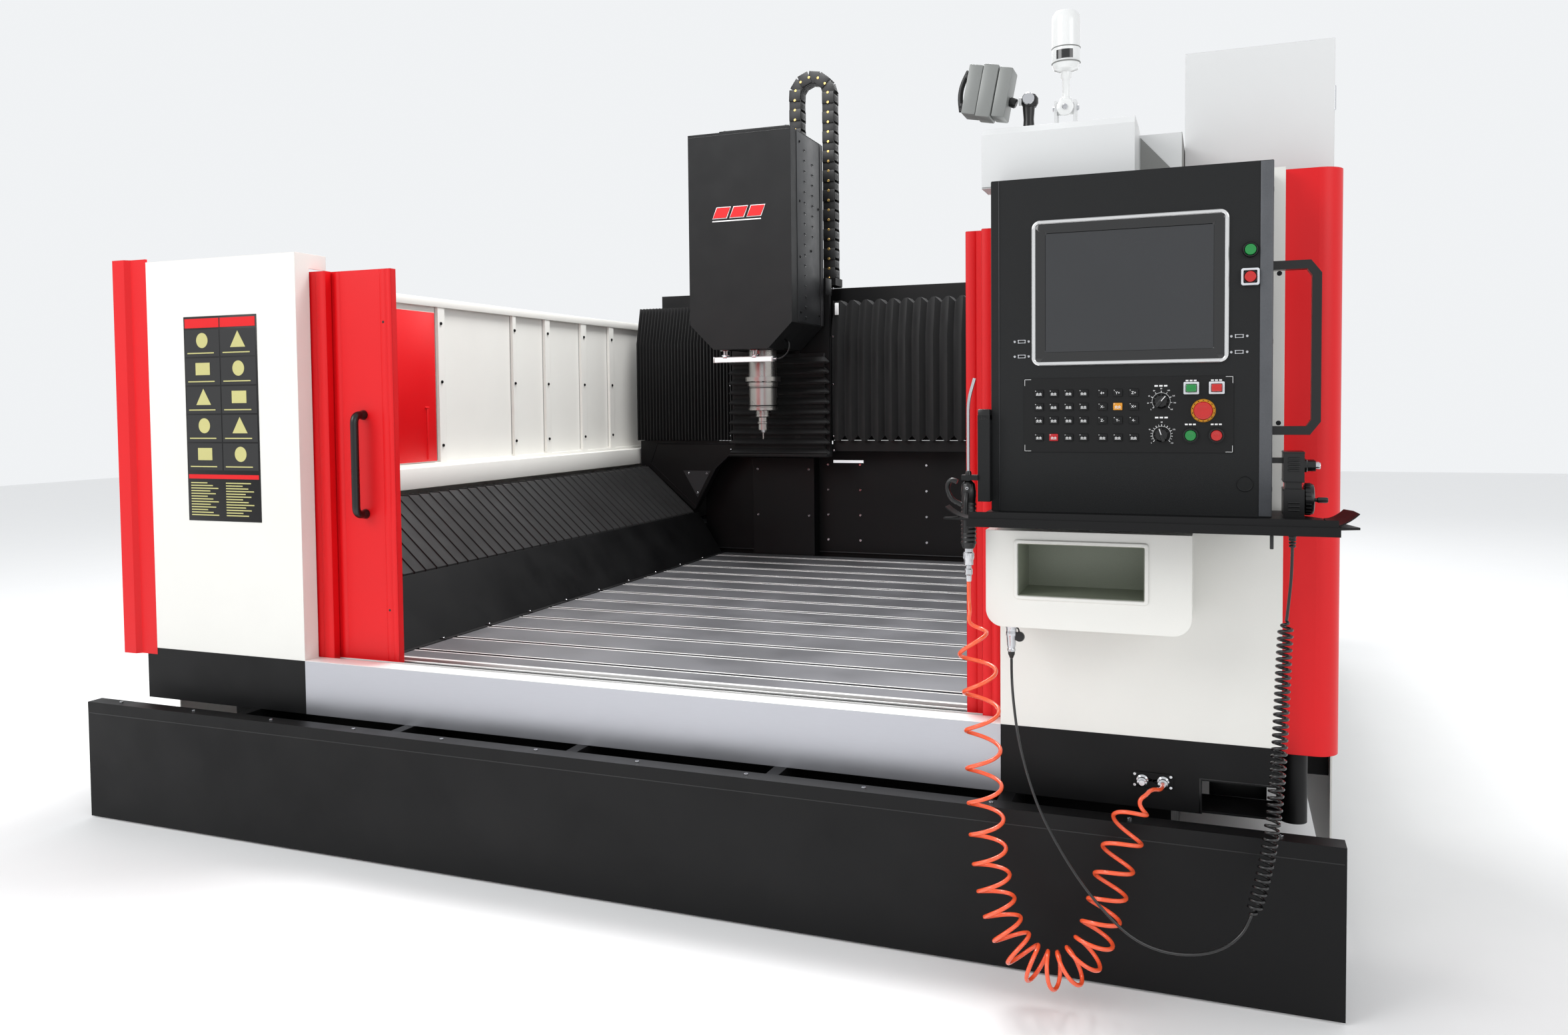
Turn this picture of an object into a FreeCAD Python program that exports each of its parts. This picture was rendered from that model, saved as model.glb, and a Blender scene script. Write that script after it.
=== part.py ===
"""Moving-bridge CNC router with a T-slot table, sliding doors and an operator's panel.

Millimetres, +Z up, +Y away from the operator.  The origin is on the floor, under the
middle of the whole machine.  Every size below is a named cell of the document's sheet.
"""
import FreeCAD, Part
import math
import os
import re

import Sketcher
from FreeCAD import Placement, Rotation, Vector

SIZES = {
    # machine as a whole
    "half_width": 1603, "front": -1660, "machine_length": 3510, "sheet_wall": 4,
    "run_gap": 0.3, "shaft_gap": 0.05,
    # front plinth and feet
    "plinth_height": 332, "plinth_ledge": 45, "floor_gap": 5, "foot_height": 60, "foot_radius": 55,
    # bed, rail beams and table
    "frame_wall": 30, "beam_inset": 313, "rail_beam_width": 280, "rail_beam_height": 560,
    "rear_space": 60, "table_height": 431, "table_thickness": 60, "table_inset": 733,
    "table_front_inset": 400, "table_length": 2450, "slot_pitch": 187, "slot_width": 18,
    "slot_neck": 12, "slot_head": 32, "slot_depth": 28,
    "rail_width": 35, "rail_height": 35, "rail_inset": 55, "rack_width": 25, "rack_height": 20,
    # front casings
    "casing_setback": 113, "casing_depth": 117, "casing_return": 52, "sill_height": 464.7,
    "skirt_low": 328, "skirt_high": 473, "skirt_end_inset": 106,
    "left_casing_width": 539, "left_casing_end_inset": 143, "left_casing_height": 1102,
    "right_casing_width": 545, "right_casing_height": 1127,
    "trim_low": 454, "left_trim_high": 1584, "right_trim_high": 1601, "trim_wall": 6,
    "trim_proud": 12, "right_trim_setback": 38, "right_trim_depth": 160, "trim_round": 45,
    "hatch_low": 395, "hatch_width": 145, "post_radius": 26, "post_low": 306, "post_high": 455,
    # sides and rear
    "side_low": 120, "side_high": 936, "ledge_depth": 303, "ledge_lip": 73,
    "fence_height": 624, "fence_inset": 246, "fence_sheet": 4, "fence_rib": 14, "fence_cap": 43,
    "fence_cap_height": 25, "guard_wall": 4, "guard_strip": 20,
    "strip_height": 6,
    "bellows_roof": 850, "bellows_knee": 632, "bellows_shell": 12,
    "splash_offset": 100, "splash_gap": 50, "splash_half_width": 1000,
    "service_box_left": -715, "service_box_width": 311, "service_box_depth": 80,
    "service_box_drop": 36, "strip_light_left": -330, "strip_light_width": 150,
    "strip_light_high": 14, "strip_light_depth": 9, "strip_light_drop": 48,
    # operator's panel
    "panel_left": 962, "panel_width": 508, "panel_low": 940, "panel_height": 648,
    "panel_proud": 147, "screen_x": 1218, "screen_z": 1365, "screen_width": 304,
    "screen_height": 228, "bezel_border": 26, "bezel_proud": 5, "bezel_round": 16,
    "plate_left": 1025, "plate_low": 1058, "plate_width": 380, "plate_height": 142,
    "plate_proud": 2, "key_width": 17, "key_height": 14, "key_proud": 2.5, "stem_radius": 4,
    "button_radius": 10, "button_height": 8, "button_travel": 3, "collar_wall": 4,
    "estop_radius": 17, "estop_stem": 7, "estop_height": 26, "estop_travel": 5,
    "knob_radius": 14, "knob_height": 18, "shaft_radius": 3, "shaft_reach": 30,
    "handle_low": 1090, "handle_high": 1409, "handle_reach": 83, "handle_bar": 16, "handle_depth": 26,
    "tray_thickness": 4, "tray_proud": 156, "tray_left": 897, "tray_right": 1601, "tray_lip": 12,
    "box_left": 949, "box_width": 386, "box_low": 710, "box_height": 192, "box_wall": 14,
    "box_round": 34, "mouth_left": 1012, "mouth_width": 238, "mouth_low": 774, "mouth_height": 103,
    # things on top of the right casing
    "cover_left": 929, "cover_width": 297, "cover_height": 109, "cover_depth": 380, "cover_proud": 73,
    "cover_step": 82, "cover_step_height": 95,
    "cabinet_width": 287, "cabinet_depth": 920, "cabinet_height": 954, "cabinet_setback": 320,
    "tower_x": 1083, "tower_y": -1510, "tower_pivot": 1759, "tower_radius": 29, "tower_top": 1959,
    "lamp_x": 950, "lamp_y": -1530, "lamp_z": 1800, "lamp_width": 128, "lamp_height": 118,
    "lamp_depth": 70,
    # pendant, air gun and their fittings
    "pendant_x": 1490, "pendant_y": -1655, "pendant_thick": 35, "pendant_wide": 76,
    "pendant_high": 120, "wheel_radius": 29, "wheel_height": 18, "wheel_z": 972,
    "strain_radius": 6, "strain_drop": 45,
    "gun_x": 918, "gun_y": -1710, "gun_low": 800, "gun_high": 1205, "gun_radius": 16,
    "gun_shoulder": 1000, "trigger_gap": 9, "trigger_wide": 14,
    "plug_x": 993, "plug_y": -1655, "plug_radius": 11, "plug_drop": 70,
    "fitting_x": 1279, "fitting_z": 386, "fitting_radius": 9, "fitting_reach": 23,
    "hose_radius": 4, "hose_coil_radius": 37.5, "lead_radius": 2.75, "lead_coil_radius": 14.5,
    # sliding doors
    "leaf_width": 560, "leaf_thick": 22, "leaf_low": 465, "leaf_high": 1527, "leaf_gap": 4,
    "left_leading_x": -1235, "left_trailing_x": -1430, "right_leading_x": 865,
    "right_trailing_x": 905, "grip_x": -786, "grip_width": 26, "grip_low": 855, "grip_high": 1151,
    "grip_proud": 50, "grip_bar": 22,
    # bridge
    "bridge_setback": 730, "bridge_low": 980, "bridge_high": 1600, "bridge_depth": 320,
    "bridge_wall": 20, "rail_stand": 80, "x_rail_low": 1100, "x_rail_high": 1500,
    "cover_bottom": 978, "cover_fold": 1452, "cover_top": 1628, "cover_lean": 45,
    "x_cover_wall": 8, "x_cover_end": 1298, "trough_wall": 4, "trough_height": 100, "trough_width": 90,
    # saddle, ram and spindle
    "head_x": -554, "saddle_shift": 17, "saddle_half": 244, "saddle_low": 905, "saddle_high": 1720,
    "saddle_thick": 30, "z_rail_x": 110, "z_rail_proud": 25, "way_depth": 46, "way_wall": 8,
    "way_high": 1385, "head_half": 239, "head_low": 1393, "head_high": 2330, "head_depth": 457,
    "head_corner": 110, "head_wall": 5, "head_back": 15, "ram_half": 130, "ram_depth": 190,
    "ram_high": 2150, "spindle_reach": 180, "spindle_radius": 64, "flange_radius": 80,
    "flange_low": 1255, "flange_high": 1275, "spindle_low": 1123, "nose_radius": 25,
    "nose_flange": 33, "tool_low": 993, "tool_radius": 3, "holder_radius": 22,
    "light_left": 160, "light_right": 122, "light_low": 1338, "light_high": 1362,
    "chain_wide": 80, "chain_thick": 60, "chain_left": 47, "chain_right": 269,
    "chain_arch": 2590, "chain_foot": 1735, "chain_back": 70,
}

# places that several pieces share, as expressions of the sheet's cells
REAR = "(front + machine_length)"
CASING = "(front + casing_setback)"
BED_FRONT = f"({CASING} + casing_depth)"
BEAM = "(half_width - beam_inset)"
BEAM_IN = f"({BEAM} - rail_beam_width)"
BED_TOP = "(table_height - table_thickness)"
TABLE_X = "(half_width - table_inset)"
TABLE_Y = "(front + table_front_inset)"
TABLE_END = f"({TABLE_Y} + table_length)"
REBATE = "(guard_strip - 7)"
LEDGE = "(half_width - ledge_depth)"
FENCE = "(half_width - fence_inset)"
LEFT_OUT = "(left_casing_end_inset - half_width)"
LEFT_IN = f"({LEFT_OUT} + left_casing_width)"
RIGHT_OUT = "(half_width - skirt_end_inset)"
RIGHT_IN = f"({RIGHT_OUT} - right_casing_width)"
RAIL_TOP = "(rail_beam_height + rail_height)"
PANEL = f"({CASING} - panel_proud)"
PANEL_RIGHT = "(panel_left + panel_width)"
PLATE = f"({PANEL} - plate_proud)"
RIGHT_TOP = "(skirt_high + right_casing_height)"
TRAILING_Y = f"({CASING} + casing_return + leaf_gap)"
LEADING_Y = f"({TRAILING_Y} + leaf_thick + leaf_gap)"
BRIDGE = f"({REAR} - bridge_setback)"
BRIDGE_FRONT = f"({BRIDGE} + rail_stand)"
BRIDGE_BACK = f"({BRIDGE_FRONT} + bridge_depth)"
GUSSET = f"({BRIDGE} + saddle_thick + 4)"
SADDLE = "(head_x + saddle_shift)"
SPINDLE_Y = f"({BRIDGE} - spindle_reach)"
RAM_BACK = f"({BRIDGE} - z_rail_proud - 35)"
HEAD_BACK = f"({BRIDGE} + head_back)"
TRAY_TOP = "panel_low"
CHAIN_LEFT = "(head_x + chain_left)"
CHAIN_RIGHT = "(head_x + chain_right)"
SPLASH_TOP = "(bridge_low - splash_gap)"

WORD = re.compile(r"[a-z][a-z0-9_]*")
PLANES = {"XY": "XY_Plane", "XZ": "XZ_Plane", "YZ": "YZ_Plane"}
AXES = {"X": Rotation(Vector(0, 1, 0), 90), "Y": Rotation(Vector(1, 0, 0), -90), "Z": Rotation()}

doc = FreeCAD.newDocument("cnc_router")
sheet = doc.addObject("Spreadsheet::Sheet", "sizes")
for row, (word, number) in enumerate(SIZES.items(), start=1):
    sheet.set(f"A{row}", word)
    sheet.set(f"B{row}", str(number))
    sheet.setAlias(f"B{row}", word)
doc.recompute()
nodes = []


def cell(word):
    """One size, read from the sheet."""
    return float(sheet.get(word))


def bind(item, prop, text):
    """Tie a property to an expression in which each known word names a cell."""
    item.setExpression(prop, WORD.sub(lambda m: f"sizes.{m[0]}" if m[0] in SIZES else m[0], text))


def block(x_low, x_high, y_low, y_high, z_low, z_high):
    """A box between six limits."""
    item = doc.addObject("Part::Box", "block")
    for prop, low, high in (("Length", x_low, x_high), ("Width", y_low, y_high), ("Height", z_low, z_high)):
        bind(item, prop, f"({high}) - ({low})")
    for axis, low in (("x", x_low), ("y", y_low), ("z", z_low)):
        bind(item, f"Placement.Base.{axis}", low)
    return item


def rod(axis, radius, x, y, z, length):
    """A cylinder that starts at a point and runs along one axis."""
    item = doc.addObject("Part::Cylinder", "rod")
    item.Placement = Placement(Vector(), AXES[axis])
    bind(item, "Radius", radius)
    bind(item, "Height", length)
    for letter, place in (("x", x), ("y", y), ("z", z)):
        bind(item, f"Placement.Base.{letter}", place)
    return item


def fuse(*pieces):
    """Pieces joined into one."""
    item = doc.addObject("Part::MultiFuse", "joined")
    item.Shapes = list(pieces)
    return item


def cut(base, *tools):
    """A piece with others taken out of it."""
    item = doc.addObject("Part::Cut", "cut")
    item.Base = base
    item.Tool = tools[0] if len(tools) == 1 else fuse(*tools)
    return item


def outline(body, plane, points, offset):
    """A closed outline on one of the body's origin planes; each corner is bound to the sheet."""
    sketch = body.newObject("Sketcher::SketchObject", "outline")
    origin = next(f for f in body.Origin.OriginFeatures if f.Role == PLANES[plane])
    sketch.AttachmentSupport = [(origin, "")]
    sketch.MapMode = "FlatFace"
    bind(sketch, "AttachmentOffset.Base.z", offset)
    count = len(points)
    start = [Vector(math.cos(i * math.tau / count), math.sin(i * math.tau / count), 0) * 100
             for i in range(count)]
    for i in range(count):
        sketch.addGeometry(Part.LineSegment(start[i], start[(i + 1) % count]), False)
    for i in range(count):
        sketch.addConstraint(Sketcher.Constraint("Coincident", i, 2, (i + 1) % count, 1))
    for i, (u, v) in enumerate(points):
        for kind, place, number in (("DistanceX", u, start[i].x), ("DistanceY", v, start[i].y)):
            index = sketch.addConstraint(Sketcher.Constraint(kind, -1, 1, i, 1, number))
            bind(sketch, f"Constraints[{index}]", place)
    return sketch


def profile(plane, points, low, high, rounds=()):
    """A padded outline between two places along the plane's normal.

    rounds holds pairs of a corner's number and the radius that its edge is rounded to.
    """
    body = doc.addObject("PartDesign::Body", "profile")
    offset = f"-({high})" if plane == "XZ" else low
    sketch = outline(body, plane, points, offset)
    pad = body.newObject("PartDesign::Pad", "pad")
    pad.Profile = sketch
    bind(pad, "Length", f"({high}) - ({low})")
    for corner, radius in rounds:
        doc.recompute()
        spot = sketch.getGlobalPlacement().multVec(sketch.getPoint(corner, 1))
        normal = sketch.getGlobalPlacement().Rotation.multVec(Vector(0, 0, 1))
        base = body.Tip
        names = [f"Edge{i}" for i, edge in enumerate(base.Shape.Edges, start=1)
                 if edge.Curve.TypeId == "Part::GeomLine"
                 and edge.Curve.Direction.cross(normal).Length < 1e-6
                 and (edge.Vertexes[0].Point - spot).cross(normal).Length < 1e-4]
        fillet = body.newObject("PartDesign::Fillet", "round")
        fillet.Base = (base, names)
        bind(fillet, "Radius", radius)
    return body


def turned(points, x, y):
    """A solid of revolution about a vertical axis, from pairs of radius and height."""
    body = doc.addObject("PartDesign::Body", "turned")
    sketch = outline(body, "XZ", points, "0")
    turn = body.newObject("PartDesign::Revolution", "turn")
    turn.Profile = sketch
    turn.ReferenceAxis = (sketch, ["V_Axis"])
    turn.Angle = 360
    bind(body, "Placement.Base.x", x)
    bind(body, "Placement.Base.y", y)
    return body


def mirrored(item):
    """The same piece on the machine's other side."""
    twin = doc.addObject("Part::Mirroring", "twin")
    twin.Source = item
    twin.Normal = Vector(1, 0, 0)
    return twin


def node(label, *pieces):
    """Name a sub-part: one object, or a group of separate solids that share a name."""
    item = pieces[0]
    if len(pieces) > 1:
        item = doc.addObject("Part::Compound", "group")
        item.Links = list(pieces)
    item.Label = label
    nodes.append(item)
    return item


# ---------------------------------------------------------------- bed, plinth and table

def front_plinth():
    """Folded plate across the front, with a narrow ledge along its top."""
    foot, ledge = "front", "front + plinth_ledge"
    node("front_plinth", profile("YZ", [
        (foot, "floor_gap"), ("front + sheet_wall", "floor_gap"),
        ("front + sheet_wall", "plinth_height - sheet_wall"), (ledge, "plinth_height - sheet_wall"),
        (ledge, "plinth_height"), (foot, "plinth_height")], "-half_width", "half_width"))


def machine_frame():
    """Two rail beams, the ribbed bed between them, outriggers, front sill and levelling feet."""
    inner, roof = f"{BEAM} - frame_wall", "rail_beam_height - frame_wall"
    throat, floor = f"{BEAM_IN} + frame_wall", f"{BED_TOP} - frame_wall"
    back = f"{REAR} - rear_space"
    span = f"({back} - {BED_FRONT})"
    steps = [f"{BED_FRONT} + ({span} - frame_wall) * {rib} / 6" for rib in range(7)]

    def ribs(low, high, top):
        return [block(low, high, place, f"{place} + frame_wall", "foot_height", top) for place in steps]
    channel = profile("XZ", [
        (BEAM, "foot_height"), (inner, "foot_height"), (inner, roof), (throat, roof), (throat, "foot_height"),
        (BEAM_IN, "foot_height"), (BEAM_IN, "rail_beam_height"), (BEAM, "rail_beam_height")], BED_FRONT, back)
    rail_beam = fuse(channel, *ribs(throat, inner, roof))
    slab = block(f"-{BEAM_IN}", BEAM_IN, BED_FRONT, back, floor, BED_TOP)
    pieces = [rail_beam, mirrored(rail_beam), fuse(slab, *ribs(f"-{BEAM_IN}", BEAM_IN, floor))]
    for arm in range(5):
        place = f"{BED_FRONT} + {span} * {arm} / 5 + 120"
        outrigger = block(BEAM, "half_width - sheet_wall", place, f"{place} + frame_wall",
                          "side_low + 240", "side_low + 330")
        pieces += [outrigger, mirrored(outrigger)]
    pieces.append(block(f"{LEFT_OUT} + sheet_wall", f"{RIGHT_OUT} - sheet_wall", TRAILING_Y, BED_FRONT,
                        "skirt_high - 40", "sill_height"))
    pieces.append(block(f"{LEFT_IN} + run_gap", f"{RIGHT_IN} - run_gap", f"{BED_FRONT} - frame_wall",
                        BED_FRONT, floor, "skirt_high - 40"))
    for bracket in range(5):
        place = f"180 - {BEAM} + ({RIGHT_IN} + {BEAM} - 178) * {bracket} / 4"
        pieces.append(block(place, f"{place} + frame_wall", "front + sheet_wall", BED_FRONT,
                            "plinth_height - 90", "plinth_height - sheet_wall"))
    feet = [rod("Z", "foot_radius", f"{sign}({place})", f"{along} + frame_wall / 2", "0", "foot_height")
            for place in (f"{BEAM} - 15", f"{BEAM_IN} + 15", "260") for sign in ("-", "")
            for along in steps[::2]]
    node("machine_frame", *pieces, *feet)


def work_table():
    """Flat table with T-slots across it."""
    body = doc.addObject("PartDesign::Body", "table")
    top = "table_height"
    slab = outline(body, "YZ", [(TABLE_Y, BED_TOP), (TABLE_END, BED_TOP), (TABLE_END, top),
                                (TABLE_Y, top)], f"-{TABLE_X}")
    pad = body.newObject("PartDesign::Pad", "slab")
    pad.Profile = slab
    bind(pad, "Length", f"2 * {TABLE_X}")
    doc.recompute()
    first = f"({TABLE_Y} + (table_length - 12 * slot_pitch) / 2)"
    neck, head = "slot_width / 2", "slot_head / 2"
    steps = [(f"{first} - {neck}", f"{top} + 1"), (f"{first} - {neck}", f"{top} - slot_neck"),
             (f"{first} - {head}", f"{top} - slot_neck"), (f"{first} - {head}", f"{top} - slot_depth"),
             (f"{first} + {head}", f"{top} - slot_depth"), (f"{first} + {head}", f"{top} - slot_neck"),
             (f"{first} + {neck}", f"{top} - slot_neck"), (f"{first} + {neck}", f"{top} + 1")]
    slot = outline(body, "YZ", steps, TABLE_X)
    pocket = body.newObject("PartDesign::Pocket", "slot")
    pocket.Profile = slot
    bind(pocket, "Length", f"2 * {TABLE_X}")
    doc.recompute()
    rowed = body.newObject("PartDesign::LinearPattern", "slots")
    rowed.Originals = [pocket]
    rowed.Direction = (slot, ["H_Axis"])
    rowed.Mode = "Extent"
    rowed.Occurrences = 13
    bind(rowed, "Length", "12 * slot_pitch")
    body.Tip = rowed
    doc.recompute()
    if rowed.Shape.Volume > pocket.Shape.Volume * 0.999:
        raise RuntimeError("the row of T-slots cuts nothing")
    rebates = [block(low, high, f"{TABLE_Y} - 1", f"{TABLE_END} + 1", f"{top} - strip_height", f"{top} + 1")
               for low, high in ((f"{TABLE_X} - {REBATE}", f"{TABLE_X} + 1"),
                                 (f"-{TABLE_X} - 1", f"{REBATE} - {TABLE_X}"))]
    node("work_table", cut(body, *rebates))


def y_rails():
    """Two rails and a rack on top of each rail beam."""
    pieces = []
    ends = (f"{BED_FRONT} + 20", f"{REAR} - rear_space - 20")
    for place, width, height in ((f"{BEAM} - rail_inset", "rail_width", "rail_height"),
                                 (f"{BEAM_IN} + rail_inset", "rail_width", "rail_height"),
                                 (f"{BEAM} - rail_beam_width / 2", "rack_width", "rack_height")):
        for sign in ("-", ""):
            middle = f"{sign}({place})"
            pieces.append(block(f"{middle} - {width} / 2", f"{middle} + {width} / 2", *ends,
                                "rail_beam_height", f"rail_beam_height + {height}"))
    node("y_rails", *pieces)


def roof_cover(low, high):
    """Folding roof over one rail beam, as the plain shell that holds its folds."""
    crown, knee, out = f"{BEAM} - 40", f"{BEAM_IN} - 4", f"{BEAM} + 4"
    seat, wall = "rail_beam_height + run_gap", "bellows_shell"
    points = [(out, "bellows_roof"), (crown, "bellows_roof"), (knee, "bellows_knee"), (knee, seat),
              (f"{knee} + {wall}", seat), (f"{knee} + {wall}", f"bellows_knee - {wall} / 2"),
              (f"{crown} + {wall} / 2", f"bellows_roof - {wall}"), (out, f"bellows_roof - {wall}")]
    right = profile("XZ", points, low, high)
    return right, mirrored(right)


def y_bellows():
    """The long folding roofs in front of the bridge and the packed ones behind it."""
    node("y_bellows_front", *roof_cover(f"{BED_FRONT} + 10", f"{GUSSET} - 1"))
    node("y_bellows_rear", *roof_cover(f"{BRIDGE_BACK} + 24", f"{REAR} - rear_space"))


def chip_guards():
    """Sloping plates from the roofs down to the table, their clamp strips flush in its rebates."""
    top, foot = f"{BEAM_IN} - 10", f"{TABLE_X} + 4"
    points = [(f"{top} + guard_wall", "bellows_knee - 10"), (top, "bellows_knee - 6"),
              (foot, "table_height - 3"), (f"{foot} + guard_wall", "table_height - 6")]
    pieces = [profile("XZ", points, TABLE_Y, TABLE_END)]
    for strip in range(10):
        place = f"{TABLE_Y} + table_length * {strip} / 10"
        pieces.append(block(f"{TABLE_X} - {REBATE} + 1", f"{foot} + 1", f"{place} + 3",
                            f"{place} + table_length / 10 - 3", "table_height - strip_height",
                            "table_height"))
    right = fuse(*pieces)
    node("chip_guards", right, mirrored(right))


# ---------------------------------------------------------------- casings and covers

def table_front_panel():
    """Bright panel across the front, under the doorway."""
    back, high = f"{CASING} + casing_return", "skirt_high"
    node("table_front_panel", profile("YZ", [
        (CASING, "skirt_low"), (f"{CASING} + sheet_wall", "skirt_low"),
        (f"{CASING} + sheet_wall", f"{high} - sheet_wall"), (back, f"{high} - sheet_wall"),
        (back, high), (CASING, high)], LEFT_IN, RIGHT_IN),
        block(LEFT_IN, RIGHT_IN, f"{CASING} + sheet_wall", TRAILING_Y,
              "skirt_high - 40", "skirt_high - sheet_wall"))


def column(left, right, low, high, return_side):
    """A front casing: a shallow box, open behind, whose side by the doorway is a short return."""
    wall = "sheet_wall"
    hollow = block(f"{left} + {wall}", f"{right} - {wall}", f"{CASING} + {wall}", f"{BED_FRONT} + 1",
                   f"{low} - 1", f"{high} - {wall}")
    side = (f"{right} - 2 * {wall}", f"{right} + 1")
    if return_side == "left":
        side = (f"{left} - 1", f"{left} + 2 * {wall}")
    doorway = block(*side, f"{CASING} + casing_return", f"{BED_FRONT} + 1", f"{low} - 1", f"{high} - 40")
    return cut(block(left, right, CASING, BED_FRONT, low, high), hollow, doorway)


def casings():
    """White casings beside the doorway, and the dark skirts that they stand on."""
    node("left_casing", column(LEFT_OUT, LEFT_IN, "skirt_high", "(skirt_high + left_casing_height)", "right"))
    node("right_casing", column(RIGHT_IN, RIGHT_OUT, "skirt_high", RIGHT_TOP, "left"))
    skirts = []
    for left, right in ((f"-{RIGHT_OUT}", LEFT_IN), (RIGHT_IN, RIGHT_OUT)):
        hollow = block(f"{left} + sheet_wall", f"{right} - sheet_wall", f"{CASING} + sheet_wall",
                       f"{BED_FRONT} + 1", "skirt_low + sheet_wall", "skirt_high + 1")
        track = block(f"{left} - 1", f"{right} + 1", TRAILING_Y, f"{BED_FRONT} + 1", "skirt_high - 40",
                      "skirt_high + 1")
        tools = [hollow, track]
        if left != RIGHT_IN:
            tools.append(block(f"{left} - 1", LEFT_OUT, f"{CASING} - 1", f"{BED_FRONT} + 1",
                               "trim_low - run_gap", "skirt_high + 1"))
        else:
            tools.append(block(f"{right} - hatch_width", f"{right} + 1", f"{CASING} - 1",
                               f"{CASING} + 2 * sheet_wall", "skirt_low - 1", "hatch_low"))
        skirts.append(cut(block(left, right, CASING, BED_FRONT, "skirt_low", "skirt_high"), *tools))
    post = rod("Z", "post_radius", f"{RIGHT_OUT} + post_radius + run_gap",
               f"{CASING} + 2 * post_radius + right_trim_setback", "post_low", "post_high - post_low - 2")
    node("lower_casings", *skirts, post)


def corner_trims():
    """Folded red trims that close the front corners."""
    wall, out = "trim_wall", "half_width"
    left = profile("XY", [
        (f"-{out}", BED_FRONT), (f"-{out}", f"{CASING} + 25"), (f"28 - {out}", f"{CASING} - trim_proud"),
        (f"{LEFT_OUT} - 70", f"{CASING} - trim_proud"), (f"{LEFT_OUT} - 58", CASING), (LEFT_OUT, CASING),
        (LEFT_OUT, f"{CASING} + {wall}"), (f"{LEFT_OUT} - 61", f"{CASING} + {wall}"),
        (f"{LEFT_OUT} - 73", f"{CASING} - trim_proud + {wall}"),
        (f"31 - {out}", f"{CASING} - trim_proud + {wall}"), (f"{wall} - {out}", f"{CASING} + 27"),
        (f"{wall} - {out}", BED_FRONT)], "trim_low", "left_trim_high")
    face = f"{CASING} + right_trim_setback"
    back = f"{face} + right_trim_depth"
    right = profile("XY", [
        (RIGHT_OUT, face), (out, face), (out, back), (f"{out} - {wall}", back),
        (f"{out} - {wall}", f"{face} + {wall}"), (RIGHT_OUT, f"{face} + {wall}")],
        "trim_low", "right_trim_high", [(1, "trim_round"), (4, "trim_round - trim_wall")])
    node("corner_trims", left, right)


def side_covers():
    """White side skins whose tops are the ledges beside the roofs."""
    out, wall, drop = "half_width", "sheet_wall", "side_high - ledge_lip"
    points = [(out, "side_low"), (out, "side_high"), (LEDGE, "side_high"), (LEDGE, drop),
              (f"{LEDGE} + {wall}", drop), (f"{LEDGE} + {wall}", f"side_high - {wall}"),
              (f"{out} - {wall}", f"side_high - {wall}"), (f"{out} - {wall}", "side_low")]
    front = f"{CASING} + right_trim_setback + right_trim_depth"
    right = profile("XZ", points, front, f"{REAR} - sheet_wall")
    node("side_covers", right, mirrored(right))


def fence(front, ribs, sign):
    """One fence: a sheet with upright ribs, a cap rail and a foot rail."""
    def across(low, high):
        return (low, high) if sign == "" else (f"-({high})", f"-({low})")
    back, top = f"{REAR} - rear_space", "side_high + fence_height"
    face = f"({FENCE} + fence_rib)"
    pieces = [block(*across(face, f"{face} + fence_sheet"), front, back, "side_high", top),
              block(*across(FENCE, f"{FENCE} + fence_cap"), front, back, f"{top} - fence_cap_height", top),
              block(*across(FENCE, face), front, back, "side_high", "side_high + 12")]
    for place, width in ribs:
        pieces.append(block(*across(FENCE, face), f"front + {place}", f"front + {place} + {width}",
                            "side_high + 12", f"{top} - fence_cap_height"))
    return fuse(*pieces)


def side_fences():
    """Fences on the ledges, with unevenly spaced ribs; the left one has an inspection hatch."""
    ribs = [(1303, 41), (1802, 24), (2052, 40), (2361, 46), (2626, 44), (3160, 40)]
    hatch = block(f"-{FENCE} - fence_rib + run_gap", f"-{FENCE} - fence_rib + 8", "front + 700",
                  "front + 1290", "side_high + 14", "side_high + fence_height - 50")
    left = fence(f"{BED_FRONT} + 90", ribs + [(650, 40)], "-")
    right = fence("front + cabinet_setback + cabinet_depth + 10", ribs, "")
    node("side_fences", left, right, hatch)


def rear_panels():
    """Splash wall behind the table, its service box and strip light, and the rear skin."""
    wall_y = f"{TABLE_END} + splash_offset"
    wall = block("-splash_half_width", "splash_half_width", wall_y, f"{wall_y} + 6", BED_TOP,
                 SPLASH_TOP)
    box = block("service_box_left", "service_box_left + service_box_width",
                f"{wall_y} - service_box_depth", wall_y, BED_TOP, f"{SPLASH_TOP} - service_box_drop")
    light_top = f"{SPLASH_TOP} - strip_light_drop"
    light = block("strip_light_left", "strip_light_left + strip_light_width",
                  f"{wall_y} - strip_light_depth", wall_y, f"{light_top} - strip_light_high", light_top)
    skin = block("-half_width", "half_width", f"{REAR} - sheet_wall", REAR, "side_low", "side_high")
    node("rear_panels", wall, box, light, skin)


# ---------------------------------------------------------------- operator's panel

BUTTONS = {
    "cycle_start_button": (1331, 1090), "cycle_stop_button": (1376, 1090),
    "screen_green_button": (1432, 1428), "screen_red_button": (1432, 1379),
}
SQUARES = {"power_on_button": (1332, 1178), "power_off_button": (1376, 1178)}
KNOBS = {"spindle_override_knob": (1279, 1154), "feed_override_knob": (1280, 1091)}
ESTOP = (1353, 1136)
KEY_COLUMNS = (1054, 1082, 1110, 1138, 1173, 1201, 1230)
KEY_ROWS = (1171, 1145, 1119, 1086)


def face_under(name):
    """The surface that a button stands on: the key plate, or the housing beside the screen."""
    return PANEL if name.startswith("screen") else PLATE


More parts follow.
